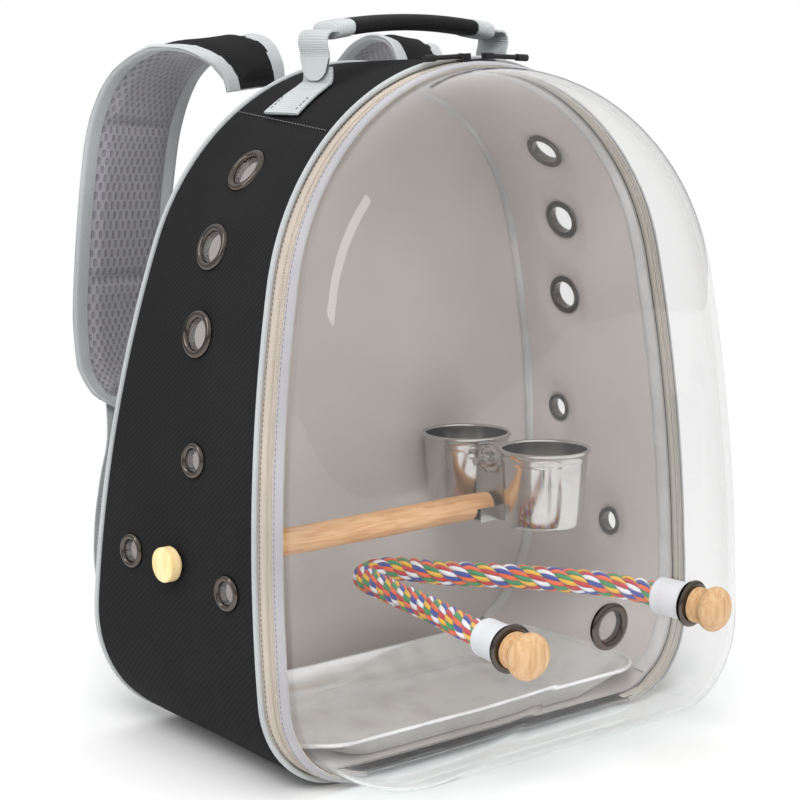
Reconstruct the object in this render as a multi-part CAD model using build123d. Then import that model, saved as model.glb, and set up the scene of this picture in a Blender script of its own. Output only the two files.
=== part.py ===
from build123d import *
import os
from dataclasses import dataclass
from math import acos, atan2, cos, pi, radians, sin, sqrt, tan

# Bird travel carrier, a backpack with a clear front dome. Millimetres. +Z is up, -Y is the
# dome's side and +X is on the right seen from the dome. The origin is the centre of the
# base's underside, on the floor.

# ---- driving sizes: the bag ----
front_height = 395.3        # outline of the front opening
front_half_width = 165.0
front_crown_radius = 149.7
front_widest_height = 93.5
front_corner_radius = 54.7
front_y = -78.0             # front plane at floor level
front_lean = 0.054          # how far the front plane leans back for each unit of height

back_height = 392.3         # outline of the back panel
back_half_width = 173.5
back_crown_radius = 145.3
back_widest_height = 65.0
back_corner_radius = 81.6
back_y = 79.0
back_lean = -0.078

wall = 5.0                  # cloth and foam of the gusset
lining = 1.0
back_wall = 4.0             # cloth and foam of the back panel
board = 2.0                 # stiffening boards
base_cloth = 3.0
piping_diameter = 3.2
piping_inset = 1.2          # from the outline to the piping's centre line
seam_front_angle = 48.7     # crown seams, from the horizontal
seam_back_angle = 54.8
seam_tape_width = 10.0      # binding tape over the seams inside the cabin
seam_tape = 0.6
seam_overrun = 5.0          # the seams' cutting wedge runs this far past the bag's ends
touch = 0.2                 # gap left between pieces that only lie against each other
running_gap = 0.35          # gap around pieces that move
shaft_gap = 0.05            # radial gap of a bore that turns on a screw

# ---- driving sizes: zip, hinge and dome ----
tape_thickness = 0.9
tape_start_inset = 3.3
tape_flat_depth = 4.9       # the zip band runs level between these two depths
band_middle = 8.0           # depth of the gap between the two rows of coils
band_depth = 14.4           # depth at which the band meets the dome
level_share = 0.45          # how far the level band has come from opening to dome edge
hinge_gap = 1.4             # fold line between the two halves of the cloth hinge
hinge_corner_gap = 1.0      # the cloth hinge ends this short of the rounded corners
coil_gap = 1.4
coil_width = 2.1
coil_height = 1.4
coil_stop_angle = -65.0     # on the lower corners, where the coils end above the hinge
flange_inset = 9.9
flange_lift = 4.9           # the dome's outline sits this much higher than the opening's
flange_foot = 4.5
flange_corner = 50.0
binding_width = 4.2
binding_thickness = 1.7
binding_lip = 1.2           # how far the binding reaches over the dome
dome_wall = 1.6
dome_rim_depth = 11.4       # the dome's edge lies under the zip tape
dome_straight_end = 26.4
dome_corner_radius = 70.0
dome_foot_radius = 55.0
dome_corner_turn = 76.0     # degrees of the rounded corner before the gently domed face
dome_corner_share = 0.8     # largest lower corner, as a share of the half width at that depth
dome_corner_steps = 7       # straight facets round the corner
dome_face_steps = 3         # straight facets over the gently domed face
dome_face_end = 0.88        # share of the face's turn that the last facet reaches

# ---- driving sizes: eyelets ----
large_eyelet = (13.5, 8.75)     # outer and inner radius
small_eyelet = (10.0, 6.25)
eyelet_lip = 1.8
eyelet_tube = 0.7               # wall of the eyelet's tube
eyelet_ease = 0.1               # radial gap between the tube and its hole
washer_thickness = 1.0
mesh_thickness = 0.5
# large eyelets' y and drop from the top, small eyelets' y and height, left and right
large_eyelet_places = {
    -1: [(-7.3, 61.1), (-4.5, 102.0), (-6.6, 148.9)],
    1: [(-5.4, 56.3), (3.7, 101.2), (13.0, 151.1)],
}
small_eyelet_places = {
    -1: [(-16.4, 177.6), (-51.0, 110.5), (35.5, 118.6)],
    1: [(30.4, 164.8), (-14.2, 95.2), (34.5, 118.8)],
}
dome_eyelet_height = 89.0
dome_eyelet_reach = 70.0        # from the middle to each rope's eyelet
dome_ease = 0.4                 # room between the curved dome and the flat eyelets
dome_washer_ease = 0.7

# ---- driving sizes: rope perch ----
rope_diameter = 14.5
cap_radius = 10.8
cap_length = 20.0
cap_round = 1.5
cap_lead = 16.0                 # straight rope in front of each cap
knob_ball_radius = 12.9
knob_ball_thickness = 16.0      # the ball is flattened along its axis
knob_ball_reach = 15.5
knob_neck_radius = 10.2
knob_neck_length = 8.8
knob_groove = 1.0
knob_collar = 2.4               # each turned collar on the neck
screw_radius = 2.5
screw_reach = 13.0
screw_tip_gap = 0.5

# ---- driving sizes: wooden perch and feeding cups ----
perch_radius = 8.0
perch_y = -5.0
perch_height = 119.0
perch_end_x = 64.0
tongue_length = 14.0            # half-round tongue at the perch's free end
tongue_screw_radius = 1.6
tongue_screw_head = 1.4
perch_screw_length = 22.0       # of the screw inside the perch
perch_knob_radius = 9.8
perch_knob_length = 7.5
perch_knob_round = 1.2
perch_neck_radius = 7.2
perch_neck_length = 1.5
knob_cover = 3.0                # wood left over the screw's tip
cup_reach = 12.0                # from the bracket's web to the cups' axes
cup_spread = 35.5               # from the perch's axis to each cup's axis
cup_rise = 38.0                 # from the perch's axis to the cups' rims
cup_height = 47.0
cup_top_radius = 26.7
cup_bottom_radius = 24.0
cup_wall = 0.8
cup_bead = 1.3
cup_round = 3.0
bracket_gap = 4.0               # from the perch's end to the bracket's web
bracket_sheet = 1.2
bracket_drop = 9.0              # from the perch's axis to the bracket's foot
bracket_top_gap = 2.5           # from the cups' rims to the bracket's top
bracket_margin = 8.0            # the saddles end this far from the bracket's ends
saddle_width = 30.7
bolt_rise = 28.0
bolt_radius = 2.5
bolt_head = 2.2
bolt_reach = 13.0
spring_radius = 9.0
spring_plate = 1.2
spring_lip = 1.4
wing_reach = 10.5
wing_thickness = 1.6
wing_height = 6.4
nut_height = 5.0
rivet_radius = 1.8
rivet_head = 0.7
rivet_margin = 6.0
rivet_reach = 22.0              # sideways from the cup's axis to its rivets

# ---- driving sizes: tray ----
tray_side_gap = 12.0            # between the tray's rim and the lining, at each end
tray_front_reach = 4.0          # the rim stands this far in front of the opening
tray_back_gap = 30.0            # from the back panel to the rim
tray_rim_height = 21.5
tray_slope = 33.0               # how far the end walls slope in on their way down
tray_front_slope = 12.0
tray_wall = 0.8
tray_corner = 30.0
tray_corner_slope = 8.0
tray_bead = 1.5

# ---- driving sizes: handle ----
handle_y = -4.0
leg_clearance = 2.8             # between the bag's top and the legs' round lower ends
handle_swing = 35.0             # degrees that the handle leans each way
webbing_width = 26.0
webbing_thickness = 1.6
anchor_spread = 5.0             # the sewn foot is this much wider
anchor_steps = 3
anchor_lift = 0.4               # the sewn foot's middle line above the crown
leg_base_x = 67.0               # from the middle to the legs
leg_bulge = 1.5                 # the webbing bows out this far on its way up
grip_half_length = 60.0
grip_rise = 14.1                # from the line the handle swings about to the grip's ends
grip_sag = 5.0
grip_thickness = 9.5
grip_width = 24.0
wrap_length = 14.0              # webbing wrapped round each end of the grip
wrap_thickness = 0.4

# ---- driving sizes: straps ----
pad_thickness = 8.0
pad_roll = 0.5                  # how far the pad's root rolls with the crown
strap_webbing_thickness = 1.6
strap_webbing_width = 25.0
buckle_tilt = 18.4              # from upright, following the pad's lower end
buckle_margin = 4.5
buckle_length = 24.0
buckle_thickness = 4.5
buckle_bar = 4.0

# ---- driving sizes: zip sliders ----
slider_length = 11.0
slider_plate = 0.8
slider_web = 0.9
slider_eye = 1.4
slider_rest_angle = 2.6         # each slider's centre beside the crown's middle
pull_length = 27.0
pull_radius = 1.4
pull_tip = 8.0
pull_start = 5.0                # from the pivot to the cord
pin_radius = 0.7
pin_gap = 0.08
ear_thickness = 0.6
ear_spread = 1.4

os.makedirs("parts", exist_ok=True)


# ---------------------------------------------------------------- outlines
@dataclass(frozen=True)
class Outline:
    """Arch of tangent arcs on a flat foot: crown, two sides and two lower corners."""

    crown_height: float
    crown_radius: float
    side_x: float
    side_height: float
    side_radius: float
    corner_radius: float
    foot: float

    def corner(self):
        """Centre of the right lower corner."""
        z = self.foot + self.corner_radius
        reach = self.side_radius - self.corner_radius
        return self.side_x + sqrt(reach**2 - (z - self.side_height) ** 2), z

    def shoulder(self):
        """Angle at which the crown meets the side."""
        return atan2(self.crown_height - self.side_height, -self.side_x)

    def heel(self):
        """Angle at which the side meets the lower corner."""
        x, z = self.corner()
        return atan2(z - self.side_height, x - self.side_x)

    def right_arcs(self, start, stop=-pi / 2):
        """Arcs of the right half from an angle on the crown to one on the lower corner."""
        x, z = self.corner()
        return [
            (0.0, self.crown_height, self.crown_radius, start, self.shoulder()),
            (self.side_x, self.side_height, self.side_radius, self.shoulder(), self.heel()),
            (x, z, self.corner_radius, self.heel(), stop),
        ]

    def hoop(self, stop=-pi / 2):
        """Arcs from the left lower corner over the crown to the right one."""
        sides = self.right_arcs(pi / 2, stop)[1:]
        crown = (0.0, self.crown_height, self.crown_radius, pi - self.shoulder(), self.shoulder())
        return mirrored(sides) + [crown] + sides


def mirrored(arcs):
    """The same arcs on the other side, walked the other way."""
    return [(-x, z, r, pi - end, pi - start) for x, z, r, start, end in reversed(arcs)]


def arch(height, half_width, crown_radius, widest, corner_radius, inset=0.0, lift=0.0,
         foot=None, corner=None):
    """Outline from its overall sizes, moved inward by inset and up by lift."""
    rise = height - crown_radius - widest
    side_radius = (half_width**2 + rise**2 - crown_radius**2) / (2 * (half_width - crown_radius))
    return Outline(
        crown_height=height - crown_radius + lift,
        crown_radius=crown_radius - inset,
        side_x=half_width - side_radius,
        side_height=widest + lift,
        side_radius=side_radius - inset,
        corner_radius=corner_radius - inset if corner is None else corner,
        foot=inset if foot is None else foot,
    )


def front_outline(inset=0.0, **changes):
    """Outline of the front opening."""
    return arch(front_height, front_half_width, front_crown_radius, front_widest_height,
                front_corner_radius, inset, **changes)


def back_outline(inset=0.0, **changes):
    """Outline of the back panel."""
    return arch(back_height, back_half_width, back_crown_radius, back_widest_height,
                back_corner_radius, inset, **changes)


def front_plane(depth=0.0):
    """Plane in front of the opening by depth, leaning like the opening."""
    return Plane(origin=(0, front_y - depth, 0), x_dir=(1, 0, 0), z_dir=(0, -1, front_lean))


def back_plane(depth=0.0):
    """Plane inside the back face by depth."""
    return Plane(origin=(0, back_y - depth, 0), x_dir=(1, 0, 0), z_dir=(0, -1, back_lean))


def top_height(y):
    """Height of the bag's top between the opening and the back panel."""
    share = (y - front_y) / (back_y - front_y)
    return front_height + (back_height - front_height) * share


# ---------------------------------------------------------------- shapes
def arc_edges(arcs, plane):
    """Arcs given in a plane as edges in space."""
    edges = []
    for x, z, r, start, end in arcs:
        turns = (start, (start + end) / 2, end)
        points = [plane.from_local_coords((x + r * cos(t), z + r * sin(t))) for t in turns]
        edges.append(ThreePointArc(*points).edge())
    return edges


def closed_wire(outline, plane):
    """The whole outline, foot included."""
    edges = arc_edges(outline.hoop(), plane)
    foot = Line(edges[-1] @ 1, edges[0] @ 0).edge()
    return Wire(edges + [foot])


def band_wire(arcs, thickness, plane):
    """Edge of a strip that follows the arcs and is thickness wide toward their centres."""
    outer = arc_edges(arcs, plane)
    inner_arcs = [(x, z, r - thickness, end, start) for x, z, r, start, end in reversed(arcs)]
    inner = arc_edges(inner_arcs, plane)
    first = Line(outer[-1] @ 1, inner[0] @ 0).edge()
    last = Line(inner[-1] @ 1, outer[0] @ 0).edge()
    return Wire(outer + [first] + inner + [last])


def block(wires):
    """Straight-sided solid through a row of sections."""
    return Solid.make_loft(wires, ruled=True)


def ring(front_inset, back_inset, thickness, front_depth=0.0):
    """Closed hoop of the bag between the opening and the back panel."""
    outer = block([closed_wire(front_outline(front_inset), front_plane(front_depth)),
                   closed_wire(back_outline(back_inset), back_plane(back_wall))])
    inner = block([closed_wire(front_outline(front_inset + thickness), front_plane(front_depth)),
                   closed_wire(back_outline(back_inset + thickness), back_plane(back_wall))])
    return outer - inner


def tube(path, radius):
    """Round bar along a path."""
    start = Plane(origin=path @ 0, z_dir=path % 0)
    return sweep(start * Circle(radius), path=path)


def disc(plane, outer, inner, low, high):
    """Flat ring on a plane's axis between two heights."""
    body = Cylinder(outer, high - low, align=(Align.CENTER, Align.CENTER, Align.MIN))
    if inner > 0:
        body -= Cylinder(inner, high - low, align=(Align.CENTER, Align.CENTER, Align.MIN))
    return plane * Pos(0, 0, low) * body


def ribbon(stations, thickness, across, roll=None):
    """Band through stations of (centre, width); across is the direction of the width.

    roll tilts the width toward +Z by that much at the first station and fades over four.
    """
    centres = [Vector(*place) for place, _ in stations]
    wires = []
    for index, (_, width) in enumerate(stations):
        before = centres[max(index - 1, 0)]
        after = centres[min(index + 1, len(centres) - 1)]
        along = (after - before).normalized()
        tilt = Vector(0, 0, (roll or 0.0) * max(0.0, 1 - index / 4))
        direction = Vector(*across) + tilt
        direction = direction - along * direction.dot(along)
        section = Plane(origin=centres[index], x_dir=direction, z_dir=along)
        wires.append(section * Rectangle(width, thickness).wire())
    return block(wires)


def keep(shape, name):
    """Write one piece, or a group of separate pieces, under its name."""
    solids = ShapeList(shape.solids())
    export_step(solids[0] if len(solids) == 1 else Compound(children=list(solids)),
                f"parts/{name}.step")


def group(pieces):
    """Several separate solids as one shape."""
    return Compound(children=[solid for piece in pieces for solid in piece.solids()])


# ---------------------------------------------------------------- bag
seam_front = radians(seam_front_angle)
seam_back = radians(seam_back_angle)
panel_back = back_plane(back_wall)
front_bag = front_outline()
back_bag = back_outline()
cabin_inset = wall + lining
cabin = block([closed_wire(front_outline(cabin_inset), front_plane()),
               closed_wire(back_outline(cabin_inset), panel_back)])


def corner_block(front_points, back_points):
    """Straight-sided solid between a polygon on the opening's plane and one on the back."""
    front_edge = front_plane(seam_overrun)
    back_edge = back_plane(back_wall - seam_overrun)
    return block([Wire.make_polygon([front_edge.from_local_coords(p) for p in front_points]),
                  Wire.make_polygon([back_edge.from_local_coords(p) for p in back_points])])


def seam_wedge():
    """Wedge between the two crown seams."""
    fans = []
    for outline, seam in ((front_bag, seam_front), (back_bag, seam_back)):
        far = 2 * front_half_width
        x, z = far * cos(seam), outline.crown_height + far * sin(seam)
        fans.append([(0, outline.crown_height), (x, z), (-x, z)])
    return corner_block(*fans)


def floor_slab(low, high, margin):
    """Flat slab under the cabin, between the two rows of lower corners."""
    front_x = front_bag.corner()[0] - margin
    back_x = back_bag.corner()[0] - margin
    front_edge = front_plane(-max(margin, 0.0))
    back_edge = back_plane(back_wall + max(margin, 0.0))
    wires = []
    for plane, x in ((front_edge, front_x), (back_edge, back_x)):
        corners = [(-x, low), (x, low), (x, high), (-x, high)]
        wires.append(Wire.make_polygon([plane.from_local_coords(c) for c in corners]))
    return block(wires)


gusset = ring(0.0, 0.0, wall)
wedge = seam_wedge()
top_panel = gusset & wedge
above_floor = Box(4 * back_half_width, 4 * back_half_width, base_cloth,
                  align=(Align.CENTER, Align.CENTER, Align.MIN))
base_panel = floor_slab(-base_cloth, base_cloth, 0.0) & above_floor
base_board = floor_slab(base_cloth, wall, 1.0)
side_walls = (gusset - wedge - floor_slab(-1.0, wall + 1.0, 0.0)).solids().sort_by(Axis.X)
side_panel_left = side_walls[0]
side_panel_right = side_walls[-1]
whole_left = side_panel_left
lining_sides = ring(wall, wall, lining)

piping_radius = piping_diameter / 2
piping_depth = piping_radius + touch / 2
piping_foot = piping_radius + touch / 2
back_inset = piping_inset + piping_radius + touch
back_foot = piping_foot + piping_radius + touch
back_panel = block([closed_wire(back_outline(back_inset, foot=back_foot), plane)
                    for plane in (panel_back, back_plane())])
board_inset = cabin_inset + touch * 2.5
back_board = block([closed_wire(back_outline(board_inset), back_plane(back_wall + board)),
                    closed_wire(back_outline(board_inset), panel_back)])
lining_depth = back_wall + board + lining
lining_back = block([closed_wire(back_outline(board_inset), back_plane(lining_depth)),
                     closed_wire(back_outline(board_inset), back_plane(back_wall + board))])

piping_front = tube(closed_wire(front_outline(piping_inset, foot=piping_foot),
                                front_plane(piping_depth)), piping_radius)
piping_back = tube(closed_wire(back_outline(piping_inset, foot=piping_foot),
                               back_plane(back_wall - piping_depth)), piping_radius)


# seam bindings inside the cabin, one at the opening and one at the back corner
binding_core = block([closed_wire(front_outline(cabin_inset + lining + seam_tape), front_plane(1)),
                      closed_wire(back_outline(cabin_inset + lining + seam_tape), panel_back)])


def seam_binding(near, far):
    """Tape on the lining between two planes, ending above the tray."""
    slab = block([closed_wire(back_outline(-wall), plane) for plane in (near, far)])
    under_tray = floor_slab(0.0, cabin_inset + wall + lining, -seam_tape_width / 2)
    return (cabin & slab) - binding_core - under_tray


seam_binding_front = seam_binding(front_plane(-lining), front_plane(-lining - seam_tape_width))
seam_binding_rear = seam_binding(back_plane(lining_depth + seam_tape_width),
                                 back_plane(lining_depth + touch))

# ---------------------------------------------------------------- zip and hinge
front_band = front_outline(tape_start_inset)
flange = front_outline(flange_inset, lift=flange_lift, foot=flange_foot, corner=flange_corner)


def band_outline(share, sink=0.0):
    """Outline of the zip band between the opening (0) and the dome's edge (1)."""
    values = {}
    for key, near in vars(front_band).items():
        far = vars(flange)[key]
        values[key] = near + (far - near) * share
    values["crown_radius"] -= sink
    values["side_radius"] -= sink
    values["corner_radius"] -= sink
    values["foot"] += sink
    return Outline(**values)


coil_front = band_middle - coil_gap / 2
coil_back = band_middle + coil_gap / 2
tape_level_end = 2 * band_middle - tape_flat_depth


def band(stations, thickness, sink=0.0, stop=-pi / 2):
    """Hoop along the zip band; stations are pairs of depth and share."""
    wires = []
    for depth, share in stations:
        arcs = band_outline(share, sink).hoop(stop)
        wires.append(band_wire(arcs, thickness, front_plane(depth)))
    return block(wires)


zip_tape_bag = band([(0.0, 0.0), (tape_flat_depth, level_share), (coil_front, level_share)],
                    tape_thickness)
zip_tape_door = band([(coil_back, level_share), (tape_level_end, level_share), (band_depth, 1.0)],
                     tape_thickness)
coil_stop = radians(coil_stop_angle)
zip_coil_bag = band([(coil_front - coil_width, level_share), (coil_front, level_share)],
                    coil_height, -coil_height, coil_stop)
zip_coil_door = band([(coil_back, level_share), (coil_back + coil_width, level_share)],
                     coil_height, -coil_height, coil_stop)
binding_start = band_depth + binding_lip - binding_width
start_share = level_share + (1 - level_share) * (binding_start - tape_level_end) / (
    band_depth - tape_level_end)
dome_binding = band([(binding_start, start_share), (band_depth, 1.0),
                     (band_depth + binding_lip, 1.0)],
                    binding_thickness, sink=-binding_thickness)

hinge_half_width = min(flange.corner()[0], front_band.corner()[0]) - hinge_corner_gap


def hinge_tape(near, far):
    """Cloth strip under the dome between two depths."""
    foot = tape_start_inset + (flange_foot - tape_start_inset) / 2
    wires = []
    for depth in (near, far):
        plane = front_plane(depth)
        corners = [(-hinge_half_width, foot), (hinge_half_width, foot),
                   (hinge_half_width, foot + tape_thickness),
                   (-hinge_half_width, foot + tape_thickness)]
        wires.append(Wire.make_polygon([plane.from_local_coords(c) for c in corners]))
    return block(wires)


hinge_tape_bag = hinge_tape(0.0, band_middle - hinge_gap / 2)
hinge_tape_door = hinge_tape(band_middle + hinge_gap / 2, band_depth)


# ---------------------------------------------------------------- dome
def dome_sections(skin, overrun):
    """Wires of the dome from its edge to its face, moved inward by skin."""
    turn = radians(dome_corner_turn)
    face_radius = dome_corner_radius + (flange.crown_radius - dome_corner_radius) / cos(turn)
    shift = face_radius - dome_corner_radius
    face_middle = dome_straight_end - shift * sin(turn)
    foot_straight = dome_straight_end + (dome_corner_radius - dome_foot_radius) * sin(turn)
    stations = [(dome_rim_depth - overrun, skin)]
    for step in range(dome_corner_steps + 1):
        angle = turn * step / dome_corner_steps
        depth = dome_straight_end + (dome_corner_radius - skin) * sin(angle)
        stations.append((depth, dome_corner_radius - (dome_corner_radius - skin) * cos(angle)))
    for step in range(dome_face_steps):
        angle = turn + (pi / 2 - turn) * dome_face_end * (step + 1) / dome_face_steps
        depth = face_middle + (face_radius - skin) * sin(angle)
        inset = dome_corner_radius + shift * cos(turn) - (face_radius - skin) * cos(angle)
        stations.append((depth, inset))
    wires = []
    for depth, inset in stations:
        rise = min(max(0.0, depth - foot_straight), (dome_foot_radius - skin) * sin(turn))
        foot_inset = dome_foot_radius - sqrt((dome_foot_radius - skin) ** 2 - rise**2)
        corner_inset = dome_corner_radius * (1 - cos(turn))
        if inset > corner_inset:
            foot_inset += inset - corner_inset
        half_width = front_half_width - flange_inset - inset
        corner = min(flange_corner, dome_corner_share * half_width) - skin
        section = front_outline(flange_inset + tape_thickness + inset, lift=flange_lift,
                                foot=flange_foot + tape_thickness + foot_inset, corner=corner)
        wires.append(closed_wire(section, front_plane(depth)))
    return wires


dome_block = block(dome_sections(0.0, 0.0))
dome_shell = dome_block - block(dome_sections(dome_wall, 1.0))


def dome_seat(x, height):
    """Plane on the dome's outside with its axis pointing away from the cabin."""
    line = Axis((x, front_y - front_height, height), (0, 1, 0))
    hits = dome_block.find_intersection_points(line)
    point, normal = min(hits, key=lambda hit: hit[0].Y)
    outward = normal if normal.Y < 0 else -normal
    return Plane(origin=point, x_dir=(-outward.Y, outward.X, 0), z_dir=outward)


# ---------------------------------------------------------------- eyelets
def eyelet_pieces(plane, size, thickness, ease):
    """Eyelet, washer and mesh disc on a wall; the plane is on the wall's outside."""
    outer, inner = size
    lip = disc(plane, outer, inner, 0.0, eyelet_lip)
    rim = lip.edges().filter_by(GeomType.CIRCLE).sort_by(SortBy.RADIUS)[-2:]
    away = plane.origin + plane.z_dir * eyelet_lip
    top = sorted(rim, key=lambda edge: (edge.center() - away).length)[:1]
    lip = fillet(top, eyelet_lip * 0.6)
    end = thickness + ease + washer_thickness
    tube_piece = disc(plane, inner + eyelet_tube, inner, -end, 0.0)
    eyelet = lip + tube_piece
    washer = disc(plane, outer - washer_thickness, inner + eyelet_tube + shaft_gap, -end,
                  -thickness - ease)
    mesh = disc(plane, inner - shaft_gap / 2, 0.0, -thickness / 2 - mesh_thickness,
                -thickness / 2)
    return eyelet, washer, mesh


def eyelet_bore(plane, size, thickness):
    """Hole through a wall for an eyelet's tube."""
    return disc(plane, size[1] + eyelet_tube + eyelet_ease, 0.0, -thickness * 2, thickness)


def side_seat(panel, y, height, side):
    """Plane on the outside of a side panel."""
    line = Axis((side * back_half_width * 2, y, height), (-side, 0, 0))
    hits = panel.find_intersection_points(line)
    point, normal = max(hits, key=lambda hit: side * hit[0].X)
    outward = normal if normal.X * side > 0 else -normal
    return Plane(origin=point, x_dir=(0, 1, 0), z_dir=outward)


side_eyelets = []
side_washers = []
side_mesh = []
for side, panel in ((-1, side_panel_left), (1, side_panel_right)):
    large_seats = [(y, top_height(y) - drop) for y, drop in large_eyelet_places[side]]
    for places, size in ((large_seats, large_eyelet), (small_eyelet_places[side], small_eyelet)):
        for y, height in places:
            surface = side_seat(panel, y, height, side)
            seat = Plane(origin=surface.origin + surface.z_dir * touch, x_dir=surface.x_dir,
                         z_dir=surface.z_dir)
            ease = size[0] ** 2 / (2 * back_crown_radius) + touch
            eyelet, washer, mesh = eyelet_pieces(seat, size, cabin_inset, ease)
            side_eyelets.append(eyelet)
            side_washers.append(washer)
            side_mesh.append(mesh)
            bore = eyelet_bore(seat, size, cabin_inset)
            lining_sides -= bore
            if side < 0:
                side_panel_left -= bore
            else:
                side_panel_right -= bore

rope_seats = [dome_seat(side * dome_eyelet_reach, dome_eyelet_height) for side in (-1, 1)]
vent_seat = dome_seat(0.0, dome_eyelet_height)
dome_eyelets = []
dome_washers = []
for seat in rope_seats + [vent_seat]:
    raised = Plane(origin=seat.origin + seat.z_dir * dome_ease, x_dir=seat.x_dir, z_dir=seat.z_dir)
    eyelet, washer, dome_mesh = eyelet_pieces(raised, large_eyelet, dome_wall + dome_ease,
                                              dome_washer_ease)
    dome_eyelets.append(eyelet)
    dome_washers.append(washer)
    dome_shell -= eyelet_bore(raised, large_eyelet, dome_wall + 3 * dome_ease)

# ---------------------------------------------------------------- rope perch
cap_start = dome_wall + dome_washer_ease + washer_thickness + touch / 2
knob_start = dome_ease + eyelet_lip + running_gap


def turned_knob(plane):
    """Wooden ball with a grooved neck, bored for its screw."""
    body = disc(plane, knob_neck_radius, 0.0, knob_start, knob_start + knob_neck_length)
    for turn in (0, 1):
        low = knob_start + knob_collar + turn * (knob_collar + knob_groove)
        body -= disc(plane, knob_neck_radius + knob_groove, knob_neck_radius - knob_groove,
                     low, low + knob_groove)
    ball = disc(Plane.XY, knob_ball_radius, 0.0, -knob_ball_thickness / 2, knob_ball_thickness / 2)
    ball = fillet(ball.edges().filter_by(GeomType.CIRCLE), knob_ball_thickness * 0.45)
    body += plane * Pos(0, 0, knob_ball_reach) * ball
    return body - disc(plane, screw_radius + shaft_gap, 0.0, 0.0,
                       knob_start + screw_reach + screw_tip_gap)


rope_knobs = [turned_knob(seat) for seat in rope_seats]
rope_caps = []
rope_screws = []
cap_ends = []
cap_leads = []
for seat in rope_seats:
    cap_end = cap_start + cap_length
    cap = disc(seat, cap_radius, 0.0, -cap_end, -cap_start)
    cap = fillet(cap.edges().filter_by(GeomType.CIRCLE), cap_round)
    cap -= disc(seat, screw_radius, 0.0, -cap_start - screw_reach, 0.0)
    rope_caps.append(cap)
    rope_screws.append(disc(seat, screw_radius, 0.0, -cap_start - screw_reach,
                            knob_start + screw_reach))
    cap_ends.append(seat.origin - seat.z_dir * cap_end)
    cap_leads.append(seat.origin - seat.z_dir * (cap_end + cap_lead))

# the rope's path, from the left cap round its fold to the right cap
rope_path_points = [
    cap_ends[0],
    cap_leads[0],
    Vector(-57.0, -100.0, 90.5),
    Vector(-50.5, -76.0, 89.5),
    Vector(-45.0, -53.0, 88.5),
    Vector(-40.0, -31.5, 88.0),
    Vector(-34.9, -3.5, 87.8),
    Vector(-19.5, 5.0, 88.2),
    Vector(-4.1, -3.5, 89.0),
    Vector(1.0, -31.5, 90.5),
    Vector(16.0, -57.0, 92.0),
    Vector(35.5, -82.0, 91.8),
    Vector(55.0, -108.0, 91.0),
    cap_leads[1],
    cap_ends[1],
]


def corner_radii(points):
    """Largest tangent arc at each inner point, from its shorter run and its turn."""
    radii = []
    for before, point, after in zip(points, points[1:], points[2:]):
        arriving = point - before
        leaving = after - point
        turn = radians(arriving.get_angle(leaving))
        radii.append(0.45 * min(arriving.length, leaving.length) / tan(turn / 2))
    return radii


rope_radii = corner_radii(rope_path_points)
rope_path = FilletPolyline(*rope_path_points, radius=rope_radii)
rope_perch = tube(rope_path.wire(), rope_diameter / 2)
rope_length = rope_path.wire().length
print("rope radii", [round(value, 1) for value in rope_radii], "length", round(rope_length, 1))
print("rope volume", round(rope_perch.volume),
      "section times length", round(pi * rope_diameter**2 / 4 * rope_length))

# ---------------------------------------------------------------- wooden perch
perch_axis = Plane(origin=(0, perch_y, perch_height), x_dir=(0, 1, 0), z_dir=(-1, 0, 0))
perch_dowel = disc(perch_axis, perch_radius, 0.0, -perch_end_x, 2 * back_half_width) & cabin
perch_dowel -= Pos(perch_end_x, perch_y, perch_height) * Box(
    tongue_length, perch_radius * 3, perch_radius, align=(Align.MAX, Align.CENTER, Align.MAX))
panel_x = -side_seat(whole_left, perch_y, perch_height, -1).origin.X
neck_start = panel_x + 2 * running_gap
head_start = neck_start + perch_neck_length
screw_tip = head_start + perch_knob_length - knob_cover
wall_inside = panel_x - cabin_inset
screw_root = wall_inside - perch_screw_length
perch_screw = disc(perch_axis, screw_radius, 0.0, screw_root, screw_tip)
perch_dowel -= perch_screw
perch_head = disc(perch_axis, perch_knob_radius, 0.0, head_start, head_start + perch_knob_length)
perch_head = fillet(perch_head.edges().filter_by(GeomType.CIRCLE), perch_knob_round)
perch_knob = disc(perch_axis, perch_neck_radius, 0.0, neck_start, head_start) + perch_head
perch_knob -= disc(perch_axis, screw_radius + shaft_gap, 0.0, screw_root,
                   screw_tip + screw_tip_gap)
screw_hole = disc(perch_axis, screw_radius + eyelet_ease, 0.0, wall_inside - lining, screw_tip)
side_panel_left -= screw_hole
lining_sides -= screw_hole

# ---------------------------------------------------------------- feeding cups
bracket_x = perch_end_x + bracket_gap
cup_x = bracket_x + cup_reach
cup_foot = perch_height + cup_rise - cup_height


def cup_outside(y, grow=0.0):
    """Tapered body of a cup, as a solid."""
    body = Cone(cup_bottom_radius + grow, cup_top_radius + grow, cup_height,
                align=(Align.CENTER, Align.CENTER, Align.MIN))
    return Pos(cup_x, y, cup_foot) * body


def cup(y):
    """Cup with a rolled rim."""
    body = cup_outside(y)
    body = fillet(body.edges().filter_by(GeomType.CIRCLE).sort_by(Axis.Z)[0], cup_round)
    inside = Cone(cup_bottom_radius - cup_wall, cup_top_radius - cup_wall, cup_height,
                  align=(Align.CENTER, Align.CENTER, Align.MIN))
    inside = fillet(inside.edges().filter_by(GeomType.CIRCLE).sort_by(Axis.Z)[0],
                    cup_round - cup_wall)
    body -= Pos(cup_x, y, cup_foot + cup_wall) * inside
    rim_radius = cup_top_radius + cup_bead - 1.25 * cup_wall
    return body + Pos(cup_x, y, cup_foot + cup_height) * Torus(rim_radius, cup_bead)


cup_ys = [perch_y - cup_spread, perch_y + cup_spread]
cup_front = cup(cup_ys[0])
cup_rear = cup(cup_ys[1])

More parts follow.
